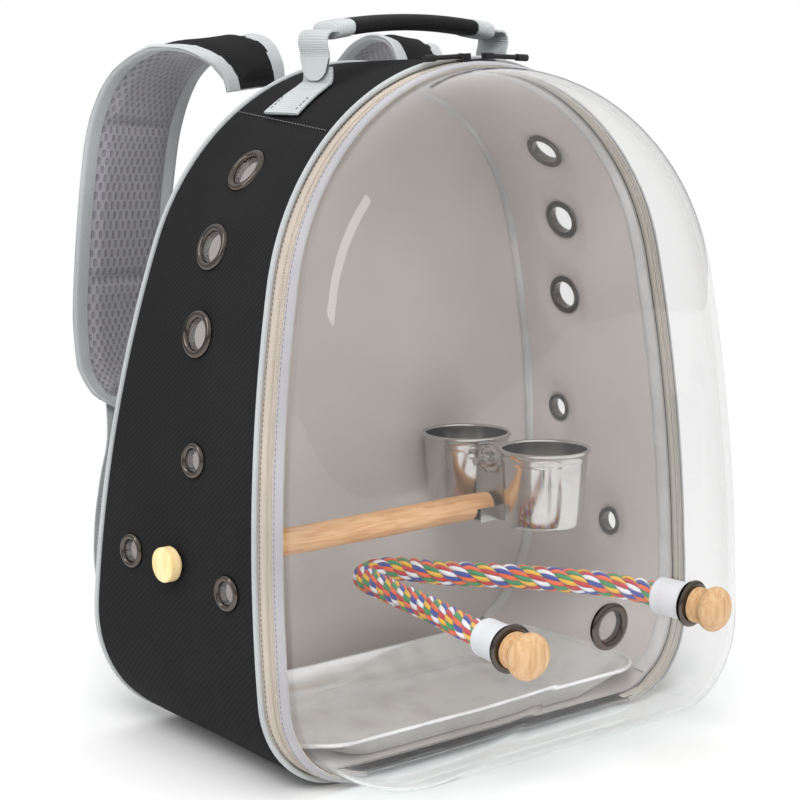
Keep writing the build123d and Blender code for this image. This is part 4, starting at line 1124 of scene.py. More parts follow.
        hoop = wrap("lining_hoop", columns, 72, sides, True, lengths=(1.2, 0.314))
        for side in (-1, 1):
            self.bore(hoop, side, 0.034)
        dress(hoop, "bag", [LINING], ["lining_sides"])
        arch = back_arch(CABIN_INSET + 0.5)

        def back(s: float, t: float) -> Vector:
            """Point of the back's lining."""
            z = arch.foot + (arch.crown_height + arch.crown_radius - arch.foot) * t
            x = (2 * s - 1) * arch.half_width(z)
            edge = min(s, 1 - s) * 2 * arch.half_width(z)
            rise = 0.5 * wrinkle(x, 40.0, z) * (1 - exp(-edge / 18))
            return BACK.place(x, z, 6.6 + rise)

        panel = wrap("lining_back_panel", 70, 80, back, lengths=(0.33, 0.38))
        modify(panel, "SOLIDIFY", thickness=0.6 * MM, offset=0.0)
        dress(panel, "bag", [LINING], ["lining_back", "back_board"])

    def back(self) -> None:
        """Padded back in air mesh with sewn channels, inside a frame of cloth."""
        arch = back_arch(3.0, 3.5)

        def place(s: float, t: float) -> Vector:
            """Point of the padded face."""
            z = arch.foot + (arch.crown_height + arch.crown_radius - arch.foot) * t
            half = arch.half_width(z)
            x = (2 * s - 1) * half
            edge = min(half - abs(x), z - arch.foot,
                       arch.crown_height + arch.crown_radius - z)
            rise = self.back_bulge * (1 - exp(-max(edge, 0.0) / 6.0))
            for here, seams in ((x, self.channels), (z, self.rungs)):
                for at in seams:
                    rise -= self.channel_depth * exp(-((here - at) / self.channel_reach) ** 2)
            return BACK.place(x, z, -rise + 0.9)

        piece = wrap("back_padding", 110, 130, place, lengths=(0.34, 0.39))
        modify(piece, "SOLIDIFY", thickness=3.0 * MM, offset=-1.0)
        dress(piece, "bag", [BLACK_MESH], ["back_panel"])
        for name, spots in (("upright", [[(x, z) for z in range(20, 384, 6)]
                                         for x in self.channels]),
                            ("level", [[(x, z) for x in range(-150, 151, 6)]
                                       for z in self.rungs])):
            rows = []
            for index, row in enumerate(spots):
                inside = [(x, z) for x, z in row if abs(x) < arch.half_width(z) - 8]
                line = [BACK.place(x, z, 0.55) for x, z in inside]
                rows.append(stitches(f"row_{index}", line, 3.6, 2.5, 0.35, Vector((0, 1, 0))))
            dress(join(f"back_stitches_{name}", rows), "bag", [DARK_THREAD])

    def piping(self) -> None:
        """Piping round the opening and the back."""
        depth = foot = self.piping_radius + 0.1
        for name, arch, face, level in (
                ("piping_round_opening", front_arch(self.piping_inset, foot), FRONT, depth),
                ("piping_round_back", back_arch(self.piping_inset, foot), BACK,
                 BACK_WALL - depth)):
            walks = hoop_walks(arch, 260, 0.0, 6.0)
            line = [face.place(*arch.at(w)[:2], level) for w in walks]
            piece = tube(name, line, self.piping_radius * MM, 14, True, Vector((0, 1, 0)))
            node = "piping_front" if face is FRONT else "piping_back"
            dress(piece, "bag", [PIPING], [node])

    def seam_tapes(self) -> None:
        """Velvet tape over the seams inside, puckered along its length."""
        for name, node, start, width in (("velvet_front", "seam_binding_front", 1.0, 11.0),
                                         ("velvet_rear", "seam_binding_rear", 145.0, 10.0)):
            columns = 420
            walks = hoop_walks(front_arch(), columns, 0.35, 4.65)

            def place(s: float, t: float, start: float = start, width: float = width) -> Vector:
                """Point of the tape's rounded section."""
                walk = walks[round(s * columns)]
                turn = 2 * pi * t
                pucker = 0.35 * sin(s * 190) + 0.3 * sin(s * 437 + 1) + 0.25 * sin(s * 911)
                lie = (start + width * (0.5 - 0.5 * cos(turn)) + 0.5 * pucker) / 155.0
                high = 0.2 + (1.5 + 0.5 * pucker) * max(0.0, sin(turn))
                return gusset_point(walk, walk, lie, inset=CABIN_INSET, shift=high)

            piece = wrap(name, columns, 14, place, True, lengths=(1.0, 0.024))
            close_ends(piece)
            dress(piece, "bag", [VELVET], [node])

    def eyelets(self) -> None:
        """Rolled eyelets with their washers and gauze on both sides."""
        rims, washers, discs = [], [], []
        for side in (-1, 1):
            for index, (place, normal, size) in enumerate(self.seats(side)):
                rims.append(eyelet_rim(f"rim_{side}_{index}", place, normal, size,
                                       self.rim_tube))
                washers.append(eyelet_washer(f"washer_{side}_{index}", place, normal, size,
                                             self.washer_depth))
                discs.append(gauze_disc(f"gauze_{side}_{index}", place - normal * 0.5 * MM,
                                        normal, size[1] + 0.3))
        dress(join("eyelets", rims), "bag", [GUNMETAL], ["side_eyelets"])
        dress(join("eyelet_washers", washers), "bag", [GUNMETAL],
              ["side_eyelet_washers"])
        dress(join("eyelet_gauze", discs), "bag", [Gauze()], ["side_vent_mesh"])

    def build(self) -> None:
        """Makes the whole bag."""
        self.gusset()
        self.lining()
        self.back()
        self.piping()
        self.seam_tapes()
        self.eyelets()


def eyelet_rim(name: str, place: Vector, axis: Vector, size: tuple[float, float],
               tube_mm: float) -> Piece:
    """Rolled rim of an eyelet with the tube behind it."""
    outer, inner = size
    middle = (outer + inner) / 2
    half = (outer - inner) / 2
    over = [(middle + half * cos(radians(a)), 0.2 + 1.9 * sin(radians(a)))
            for a in range(0, 181, 15)]
    profile = over + [(inner, -tube_mm), (inner + 0.6, -tube_mm), (inner + 0.6, 0.05),
                      (outer, 0.05), over[0]]
    return turned(name, profile, place, axis, 40)


def eyelet_washer(name: str, place: Vector, axis: Vector, size: tuple[float, float],
                  depth_mm: float) -> Piece:
    """Dished washer on the inside of an eyelet."""
    outer, inner = size[0] - 1.0, size[1] + 0.65
    middle = (outer + inner) / 2
    half = (outer - inner) / 2
    under = [(middle + half * cos(radians(a)), -depth_mm - 1.1 * sin(radians(a)))
             for a in range(0, 181, 20)]
    return turned(name, under + [(inner, -depth_mm + 0.2), (outer, -depth_mm + 0.2), under[0]],
                  place, axis, 40)


def gauze_disc(name: str, place: Vector, axis: Vector, radius: float) -> Piece:
    """Slightly domed disc of gauze."""
    axis = axis.normalized()
    first = axis.orthogonal().normalized()
    second = axis.cross(first)

    def spot(s: float, t: float) -> Vector:
        """Point on the disc, from a square pressed into a circle."""
        x, y = 2 * s - 1, 2 * t - 1
        u, v = x * sqrt(1 - y * y / 2), y * sqrt(1 - x * x / 2)
        rise = 0.5 * (1 - u * u - v * v)
        return place + (first * u * radius + second * v * radius + axis * rise) * MM

    size = 2 * radius * MM
    return wrap(name, 10, 10, spot, lengths=(size, size))


# ------------------------------------------------------------------ zip, hinge and dome
ROPE_SEAT = (70.0, -172.029, 89.0)
ROPE_OUTWARD = (0.12082, -0.99209, -0.03393)


def rope_seat(side: int) -> tuple[Vector, Vector]:
    """Seat of one rope end on the dome, in millimetres, and the direction outward."""
    (x, y, z), (u, v, w) = ROPE_SEAT, ROPE_OUTWARD
    return Vector((side * x, y, z)), Vector((side * u, v, w)).normalized()


@dataclass(frozen=True)
class Dome:
    """Clear door with its binding, the zip on both sides of its edge and the cloth hinge."""

    tape_inset: float = 3.3
    level_share: float = 0.45
    level_start: float = 4.9
    level_end: float = 11.1
    depth: float = 14.4
    flange_inset: float = 9.9
    flange_lift: float = 4.9
    flange_foot: float = 4.5
    flange_corner: float = 50.0
    wall: float = 1.6
    rim_depth: float = 11.4
    straight_end: float = 26.4
    corner_radius: float = 70.0
    foot_radius: float = 55.0
    corner_turn: float = 76.0
    corner_share: float = 0.8
    tape: float = 0.9
    eyelet: tuple[float, float] = (13.5, 8.75)
    eyelet_bore: float = 9.6
    eyelet_lift: float = 0.45
    rim_tube: float = 3.6
    washer_depth: float = 2.7
    hinge_half: float = 106.0
    hinge_height: float = 3.95
    hinge_cloth: float = 0.75
    coil_turns: int = 620
    vent_seat: tuple[float, float, float] = (0.0, -175.16, 89.0)
    vent_outward: tuple[float, float, float] = (0.0, -0.99652, -0.08332)

    def share(self, depth: float) -> float:
        """How far the zip band has come from the opening to the dome's edge."""
        return float(np.interp(depth, [0.0, self.level_start, self.level_end, self.depth],
                               [0.0, self.level_share, self.level_share, 1.0]))

    def band_point(self, walk: float, depth: float, rise: float) -> Vector:
        """Point on the zip band; rise lifts it off the band's outside."""
        near = front_arch(self.tape_inset)
        far = Arch.sized(FRONT_SIZES, self.flange_inset, self.flange_lift, self.flange_foot,
                         self.flange_corner)
        share = self.share(depth)
        values = [a + (b - a) * share for a, b in zip(vars(near).values(), vars(far).values())]
        x, z, nx, nz = Arch(*[round(v, 6) for v in values]).at(walk)
        return FRONT.place(x + nx * rise, z + nz * rise, depth)

    def strip(self, name: str, node: str, slot: str, finish: object,
              section: Sequence[tuple[float, float]], stop: float = 0.0,
              columns: int = 260) -> None:
        """Hoop with a closed section of (depth, rise), which stands for one CAD node."""
        walks = hoop_walks(front_arch(), columns, stop, 5 - stop)
        loop = list(section) + [section[0]]

        def place(s: float, t: float) -> Vector:
            """Point of the hoop."""
            depth, rise = loop[round(t * (len(loop) - 1))]
            return self.band_point(walks[round(s * columns)], depth, rise)

        piece = wrap(name, columns, len(loop) - 1, place, True,
                     lengths=(1.15, profile_length(loop) * MM))
        close_ends(piece)
        dress(piece, "bag" if node.endswith("bag") else "door", [finish], [node])

    def seam(self, name: str, walks: Sequence[float], spot: tuple[float, float],
             thread: tuple[float, float, float], body: str, slot: str) -> None:
        """Row of stitches round the band.

        Args:
            name: the piece's name.
            walks: where the row runs.
            spot: its depth and rise on the band.
            thread: pitch, length and radius of the stitches in millimetres.
            body: the body it moves with.
            slot: not used.
        """
        line = [self.band_point(w, *spot) for w in walks]
        ups = [Vector((front_arch().at(w)[2], 0, front_arch().at(w)[3])) for w in walks]
        dress(stitches(name, line, *thread, ups), body, [THREAD])

    def zip_fastener(self) -> None:
        """Two tapes and two rows of nylon coil, with the tapes' stitching."""
        bag_tape = [(d, 0.0) for d in (0.0, 1.5, 3.2, 4.9, 6.1, 7.3)]
        door_tape = [(d, 0.0) for d in (8.7, 9.9, 11.1, 12.2, 13.3, 14.4)]
        for name, node, outer in (("zip_tape_inner", "zip_tape_bag", bag_tape),
                                  ("zip_tape_outer", "zip_tape_door", door_tape)):
            section = outer + [(d, -self.tape) for d, _ in reversed(outer)]
            self.strip(name, node, "zip_tape", ZIP_TAPE, section)
        for name, node, low, way in (("zip_coil_inner", "zip_coil_bag", 5.25, 1),
                                     ("zip_coil_outer", "zip_coil_door", 8.75, -1)):
            self.coil(name, node, low, way)
        for name, body, depth in (("bag", "bag", 2.0), ("door", "door", 12.1)):
            walks = hoop_walks(front_arch(), 300, 0.3, 4.7)
            self.seam(f"zip_stitches_{name}", walks, (depth, 0.12), (2.8, 2.0, 0.28), body,
                      "zip_tape")

    def coil(self, name: str, node: str, low: float, way: int) -> None:
        """One row of nylon coil as a flattened helix."""
        walks = hoop_walks(front_arch(), self.coil_turns * 6, 0.29, 4.71)
        points = []
        for index, walk in enumerate(walks):
            spin = 2 * pi * index / 6
            depth = low + 1.0 + way * 0.8 * cos(spin)
            points.append(self.band_point(walk, depth, 0.68 + 0.4 * sin(spin)))
        piece = tube(name, points, 0.27 * MM, 4, side=Vector((0, 1, 0)))
        dress(piece, "bag" if node.endswith("bag") else "door", [ZIP_NYLON], [node])

    def binding(self) -> None:
        """Folded tape that holds the dome's edge, with its row of stitches."""
        middle, half = 13.5, 2.1
        section = [(middle + half * cos(radians(a)), 0.15 + 1.75 * max(0.0, sin(radians(a))) ** 0.6)
                   for a in range(180, -1, -15)]
        section += [(middle + half - 0.3, 0.02), (middle - half + 0.3, 0.02)]
        self.strip("dome_binding_tape", "dome_binding", "grey_tape", BINDING, section, 0.0, 300)
        walks = hoop_walks(front_arch(), 300, 0.1, 4.9)
        self.seam("binding_stitches", walks, (middle - 1.0, 1.72), (3.0, 2.1, 0.25), "door",
                  "grey_tape")

    def hinge(self) -> None:
        """Cloth hinge under the dome, one flat strip across the fold line."""
        def place(s: float, t: float) -> Vector:
            """Point of the strip's closed section."""
            turn = t * 2
            depth = self.depth * (turn if turn <= 1 else 2 - turn)
            high = self.hinge_height + (self.hinge_cloth if turn <= 1 else 0.0)
            return FRONT.place((2 * s - 1) * self.hinge_half, high, depth)

        piece = wrap("hinge_cloth", 60, 40, place, True, lengths=(0.212, 0.029))
        close_ends(piece)
        piece.data.materials.clear()
        piece.data.materials.append(finish_of(BINDING))
        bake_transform(piece)
        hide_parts("hinge_tape_bag", "hinge_tape_door")
        LOG.info("hinge_cloth: %d faces", len(piece.data.polygons))

    def sections(self, skin: float) -> list[tuple[float, Arch]]:
        """Depths and arches of the dome from its edge to its face.

        Args:
            skin: how far the surface lies inside the outer one.

        Returns:
            Pairs of depth and arch.
        """
        turn = radians(self.corner_turn)
        crown = FRONT_SIZES[2] - self.flange_inset
        face_radius = self.corner_radius + (crown - self.corner_radius) / cos(turn)
        shift = face_radius - self.corner_radius
        face_middle = self.straight_end - shift * sin(turn)
        foot_straight = self.straight_end + (self.corner_radius - self.foot_radius) * sin(turn)
        stations = [(self.rim_depth, skin), (20.0, skin)]
        for step in range(19):
            angle = turn * step / 18
            stations.append((self.straight_end + (self.corner_radius - skin) * sin(angle),
                             self.corner_radius - (self.corner_radius - skin) * cos(angle)))
        for step in range(1, 14):
            angle = turn + (pi / 2 - turn) * 0.97 * step / 13
            stations.append((face_middle + (face_radius - skin) * sin(angle),
                             self.corner_radius + shift * cos(turn)
                             - (face_radius - skin) * cos(angle)))
        arches = []
        for depth, inset in stations:
            rise = min(max(0.0, depth - foot_straight), (self.foot_radius - skin) * sin(turn))
            foot = self.foot_radius - sqrt((self.foot_radius - skin) ** 2 - rise**2)
            corner_inset = self.corner_radius * (1 - cos(turn))
            if inset > corner_inset:
                foot += inset - corner_inset
            half_width = FRONT_SIZES[1] - self.flange_inset - inset
            corner = min(self.flange_corner, self.corner_share * half_width) - skin
            arches.append((depth, Arch.sized(
                FRONT_SIZES, self.flange_inset + self.tape + inset, self.flange_lift,
                self.flange_foot + self.tape + foot, corner)))
        return arches

    def shell(self) -> Piece:
        """Clear dome, one closed skin with its real wall."""
        outer = self.sections(0.0)
        inner = self.sections(self.wall)
        rings = list(reversed(inner)) + outer
        columns = 210
        walks = []
        for start, count in ((0, 22), (1, 20), (2, 78), (3, 20), (4, 22), (5, 48)):
            walks += [start + i / count for i in range(count)]
        walks.append(6.0)

        def place(s: float, t: float) -> Vector:
            """Point of the dome's skin."""
            depth, arch = rings[round(t * (len(rings) - 1))]
            x, z, _, _ = arch.at(walks[round(s * columns)])
            return FRONT.place(x, z, depth)

        piece = wrap("clear_dome", columns, len(rings) - 1, place, True, lengths=(1.2, 0.5))
        close_ends(piece)
        soften(piece, 60)
        return piece

    def seats(self) -> list[tuple[Vector, Vector]]:
        """Places and outward directions of the left, right and middle eyelets."""
        places = [rope_seat(side) for side in (-1, 1)]
        return [(seat * MM, out) for seat, out in places] + [
            (Vector(self.vent_seat) * MM, Vector(self.vent_outward))]

    def build(self) -> None:
        """Makes the dome, its zip, binding, hinge and eyelets."""
        self.zip_fastener()
        self.binding()
        self.hinge()
        shell = self.shell()
        seats = self.seats()
        cut(shell, seats, self.eyelet_bore * MM, 0.03)
        dress(shell, "door", [ClearSheet()], ["dome_shell"])
        rims, washers = [], []
        for index, (place, normal) in enumerate(seats):
            raised = place + normal * self.eyelet_lift * MM
            rims.append(eyelet_rim(f"dome_rim_{index}", raised, normal, self.eyelet,
                                   self.rim_tube))
            washers.append(eyelet_washer(f"dome_washer_{index}", raised, normal, self.eyelet,
                                         self.washer_depth))
        dress(join("dome_eyelet_rims", rims), "door", [GUNMETAL],
              ["dome_eyelets"])
        dress(join("dome_eyelet_backs", washers), "door", [GUNMETAL],
              ["dome_eyelet_washers"])
        place, normal = seats[2]
        disc = gauze_disc("dome_gauze", place, normal, self.eyelet[1] + 0.3)
        dress(disc, "door", [Gauze()], ["dome_vent_mesh"])


# ------------------------------------------------------------------ perches and cups
@dataclass(frozen=True)
class RopePerch:
    """Cotton rope of four strands, held by two capped ends and turned wooden knobs."""

    diameter: float = 14.5
    strands: int = 4
    lay_mm: float = 35.0
    yarn_turn: float = 2.3
    strand_start: float = 2.4
    strand_overlap: float = 1.02
    slice_mm: float = 1.15
    inner_route: tuple[tuple[float, float, float], ...] = (
        (-57.0, -100.0, 90.5), (-50.5, -76.0, 89.5), (-45.0, -53.0, 88.5), (-40.0, -31.5, 88.0),
        (-34.9, -3.5, 87.8), (-19.5, 5.0, 88.2), (-4.1, -3.5, 89.0), (1.0, -31.5, 90.5),
        (16.0, -57.0, 92.0), (35.5, -82.0, 91.8), (55.0, -108.0, 91.0))
    cap_start: float = 3.4
    cap_length: float = 20.0
    cap_lead: float = 16.0

    def route(self) -> list[Vector]:
        """Points that the rope's middle line is drawn to, in metres."""
        ends = {}
        for side in (-1, 1):
            seat, out = rope_seat(side)
            ends[side] = [seat - out * (self.cap_start + self.cap_length + lead)
                          for lead in (0.0, self.cap_lead)]
        return ([p * MM for p in ends[-1]] + [Vector(p) * MM for p in self.inner_route]
                + [p * MM for p in reversed(ends[1])])

    def middle_line(self) -> list[Vector]:
        """Points read from the smooth spline of the route."""
        route = self.route()
        curve = bpy.data.curves.new("rope_route", "CURVE")
        curve.dimensions = "3D"
        curve.resolution_u = 24
        spline = curve.splines.new("NURBS")
        spline.points.add(len(route) - 1)
        for point, place in zip(spline.points, route):
            point.co = (*place, 1.0)
        spline.order_u = 3
        spline.use_endpoint_u = True
        holder = bpy.data.objects.new("rope_route", curve)
        mesh = bpy.data.meshes.new_from_object(holder)
        line = [v.co.copy() for v in mesh.vertices]
        bpy.data.meshes.remove(mesh)
        bpy.data.objects.remove(holder)
        bpy.data.curves.remove(curve)
        return line

    def build(self) -> None:
        """Makes the rope, its caps, and the knobs outside the dome."""
        line = self.middle_line()
        length, steps = line_length(line), distances(line)
        count = int(length / (self.slice_mm * MM))
        even = [Vector([float(np.interp(length * i / count, steps, [p[k] for p in line]))
                        for k in range(3)]) for i in range(count + 1)]
        track = frames(even, Vector((0, 0, 1)))
        thick = self.diameter / 2 / (1 + sqrt(2))
        reach = thick * sqrt(2)
        pieces = []
        for strand in range(self.strands):
            def place(s: float, t: float, strand: int = strand) -> Vector:
                """Point on one strand."""
                index = round(t * count)
                centre, first, second = track[index]
                lay = 2 * pi * (length / MM * t / self.lay_mm + strand / self.strands)
                out = first * cos(lay) + second * sin(lay)
                across = second * cos(lay) - first * sin(lay)
                ahead = first.cross(second)
                pitch = 2 * pi * reach / self.lay_mm
                across = (across - ahead * pitch).normalized()
                turn = 2 * pi * s - self.yarn_turn * lay + strand * self.strand_start
                wide = thick * self.strand_overlap
                return centre + (out * (reach + wide * cos(turn))
                                 + across * wide * sin(turn)) * MM

            piece = wrap(f"strand_{strand}", 18, count, place, True,
                         lengths=(1.0, length * 1.25))
            close_ends(piece)
            pieces.append(piece)
        rope = join("rope", pieces)
        dress(rope, "door", [CottonStrand()], ["rope_perch"])
        caps, knobs = [], []
        for side, word in ((-1, "left"), (1, "right")):
            seat, out = rope_seat(side)
            seat = seat * MM
            inside = -self.cap_start
            far = inside - self.cap_length
            profile = ([(0.0, inside), (9.2, inside)] + arc(9.3, inside - 1.5, 1.5, 90, 0, 4)
                       + arc(9.3, far + 1.5, 1.5, 0, -90, 4) + [(7.4, far), (7.2, far + 2.5),
                                                                (0.0, far + 2.5)])
            caps.append(turned(f"cap_{word}", profile, seat, out, 48))
            knob = self.knob(f"rope_knob_{word}_wood", seat, out)
            knobs.append(dress(knob, f"rope_knob_{word}", [KNOB_WOOD],
                               [f"rope_knob_{word}"]))
        cap = dress(join("rope_end_caps", caps), "door", [WHITE_CAP],
                    ["rope_caps"])
        keep_node("rope_screws", STEEL)
        path = [list(p) for p in even]
        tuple(path[0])

    def knob(self, name: str, seat: Vector, out: Vector) -> Piece:
        """Turned ball with two grooves round its neck."""
        start, ball, radius, half = 2.55, 15.5, 12.9, 7.9
        profile = [(0.0, start), (9.6, start), (10.2, start + 0.6)]
        for low in (start + 2.3, start + 5.6):
            profile += [(10.2, low - 0.3), (9.9, low)] + arc(9.9, low + 0.8, 0.8, 250, 110, 4)
            profile += [(9.9, low + 1.6), (10.2, low + 1.9)]
        profile += [(radius * sin(a), ball - half * cos(a))
                    for a in np.linspace(asin(10.3 / radius), pi - 0.02, 24)]
        profile += [(0.0, ball + half)]
        return turned(name, profile, seat, out, 56)


@dataclass(frozen=True)
class FeedingSet:
    """Wooden perch with its knob, steel cups, their bracket, bolt and wing nut."""

    perch_y: float = -5.0
    perch_z: float = 119.0
    cup_x: float = 80.0
    cup_spread: float = 35.5
    cup_rim: float = 157.0
    cup_height: float = 47.0
    cup_bottom: float = 24.0
    panel_x: float = 167.59
    bolt_x: float = 68.0
    bolt_z: float = 147.0

    def cup(self, name: str, y: float) -> Piece:
        """Drawn steel cup with a rolled rim, a rounded foot and a bead under the rim."""
        foot = self.cup_rim - self.cup_height
        wall = 0.8
        outer = [(0.0, 0.8), (15.0, 0.8), (16.0, 0.4), (17.5, 0.0)]
        outer += [(r, h) for r, h in arc(self.cup_bottom - 3.0, 3.0, 3.0, -90, 0, 6)]
        outer += [(24.6, 12.0), (25.7, 30.0), (26.3, 39.0)]
        outer += [(26.35, 40.2), (26.75, 41.2), (26.45, 42.4), (26.7, 44.6)]
        rim = [(r, h) for r, h in arc(27.0, 46.95, 1.3, -70, 190, 10)]
        inner = [(25.75, 44.0), (25.6, 39.0), (24.9, 30.0), (23.7, 12.0), (23.2, 4.0)]
        inner += [(r, h) for r, h in arc(20.2, 3.8, 2.9, 0, -90, 5)]
        inner += [(17.0, wall + 0.1), (15.5, wall + 0.9), (0.0, wall + 0.9)]
        return turned(name, outer + rim + inner, Vector((self.cup_x, y, foot)) * MM,
                      Vector((0, 0, 1)), 72)

    def wing_nut(self) -> Piece:
        """Pressed wing nut: a round boss with two leaf wings."""
        axis = Vector((-1, 0, 0))
        origin = Vector((self.bolt_x, self.perch_y, self.bolt_z)) * MM
        boss = turned("boss", [(2.6, 1.6), (5.0, 1.6), (5.0, 2.2), (4.2, 6.2), (3.6, 6.6),
                               (2.6, 6.6), (2.6, 1.6)], origin, axis, 32)
        wings = [boss]
        for way in (-1, 1):
            def leaf(s: float, t: float, way: int = way) -> Vector:
                """Point of a wing's rounded section."""
                turn = 2 * pi * s
                reach = 3.4 + 7.0 * t
                wide = 3.1 * sqrt(max(0.0, 1 - (max(0.0, t - 0.45) / 0.55) ** 2.2)) + 0.02
                high = 5.6 + 2.0 * t
                thin = 0.8 * (1 - 0.3 * t)
                return origin + Vector((-(high + wide * cos(turn)),
                                        way * reach, thin * sin(turn))) * MM

            wings.append(wrap("wing", 16, 14, leaf, True, lengths=(0.012, 0.008)))
        for wing in wings[1:]:
            close_ends(wing)
        return join("wing_nut_pressed", wings)

    def build(self) -> None:
        """Makes the set and gives the kept CAD nodes their finishes."""
        for way, node in ((-1, "cup_front"), (1, "cup_rear")):
            cup = self.cup(f"{node}_drawn", self.perch_y + way * self.cup_spread)
            dress(cup, "bag", [STEEL], [node])
        keep_node("cup_bracket", BRUSHED)
        for node in ("bracket_bolt", "tongue_screw", "perch_screw", "cup_rivets"):
            keep_node(node, STEEL)
        axis = Vector((-1, 0, 0))
        bolt = Vector((self.bolt_x, self.perch_y, self.bolt_z)) * MM
        washer = turned("toothed_washer", [(2.7, 0.0), (8.9, 0.0), (9.0, 0.6), (9.0, 2.3),
                                           (8.4, 2.4), (7.7, 1.6), (7.4, 1.2), (4.6, 1.25),
                                           (2.7, 1.1), (2.7, 0.0)], bolt, axis, 48)
        dress(washer, "bag", [STEEL], ["spring_washer"])
        dress(self.wing_nut(), "wing_nut", [STEEL], ["wing_nut"])
        keep_node("perch_dowel", BEECH)
        start = self.panel_x + 0.7
        head = [(0.0, start), (7.2, start), (7.2, start + 0.9), (7.6, start + 1.3)]
        head += arc(8.6, start + 2.6, 1.2, -90, 0, 4) + arc(8.6, start + 7.6, 1.2, 0, 90, 4)
        head += [(6.0, start + 8.85), (0.0, start + 8.9)]
        knob = turned("perch_knob_wood", head,
                      Vector((0, self.perch_y, self.perch_z)) * MM, axis, 56)
        dress(knob, "perch_knob", [PALE_WOOD], ["perch_knob"])


@dataclass(frozen=True)
class Tray:
    """Pressed steel tray with sloping ends and a rolled rim."""

    half_width: float = 133.05
    front: float = -82.0
    back: float = 49.0
    rim: float = 21.5
    floor: float = 6.2
    slope: float = 33.0
    front_slope: float = 12.0
    corner: float = 30.0
    fold: float = 46.0

    def outline(self, walk: float, share: float, skin: float) -> tuple[float, float]:
        """Point on the rounded rectangle; share is 0 at the rim and 1 at the floor."""
        half = self.half_width - self.slope * share - skin
        front = self.front + self.front_slope * share + skin
        back = self.back - self.front_slope * share - skin
        radius = max(2.0, self.corner - 8.0 * share - skin)
        side = (walk * 4) % 4
        index, along = int(side), side - int(side)
        corners = [(half - radius, back - radius), (-half + radius, back - radius),
                   (-half + radius, front + radius), (half - radius, front + radius)]
        cx, cy = corners[index]
        nx, ny = corners[(index + 1) % 4]
        if along < 0.5:
            turn = pi / 2 * index + pi * along
            return cx + radius * cos(turn), cy + radius * sin(turn)
        turn = pi / 2 * (index + 1)
        first = (cx + radius * cos(turn), cy + radius * sin(turn))
        last = (nx + radius * cos(turn), ny + radius * sin(turn))
        part = (along - 0.5) * 2
        return (first[0] + (last[0] - first[0]) * part, first[1] + (last[1] - first[1]) * part)

    def build(self) -> None:
        """Makes the tray from rings, outside up to the rim and down the inside."""
        height = self.rim - self.floor
        rings = [(1.0, 90.0, 0.0), (1.0, 60.0, 0.0), (1.0, 30.0, 0.0), (1.0, 8.0, 0.0),
                 (1.0, 2.0, 0.2), (0.97, 0.0, 0.6), (0.9, 0.0, height * 0.1),
                 (0.5, 0.0, height * 0.5), (0.06, 0.0, height * 0.92)]
        rings += [(0.0, -1.2 * cos(radians(a)) + 0.6, height - 0.8 + 1.4 * sin(radians(a)))
                  for a in range(-40, 200, 24)]
        rings += [(0.06, 1.3, height * 0.9), (0.5, 1.3, height * 0.5), (0.9, 1.3, height * 0.14),
                  (0.97, 1.6, 1.6), (1.0, 3.5, 1.05), (1.0, 9.0, 0.85), (1.0, 11.0, 1.3),
                  (1.0, 13.0, 1.5), (1.0, 30.0, 1.5), (1.0, 60.0, 1.5), (1.0, 90.0, 1.5)]
        columns = 160

        def place(s: float, t: float) -> Vector:
            """Point of the tray."""
            share, skin, high = rings[round(t * (len(rings) - 1))]
            x, y = self.outline(s, share, min(skin, self.fold))
            squeeze = 1.0
            if skin > self.fold:
                squeeze = max(0.02, 1 - (skin - self.fold) / self.fold)
                x *= 0.3 + 0.7 * squeeze
            middle = (self.front + self.back) / 2
            return Vector((x, middle + (y - middle) * squeeze, self.floor + high)) * MM

        piece = wrap("tray_pressed", columns, len(rings) - 1, place, True, lengths=(0.8, 0.3))
        close_ends(piece)
        dress(piece, "tray", [TRAY_STEEL], ["tray"])


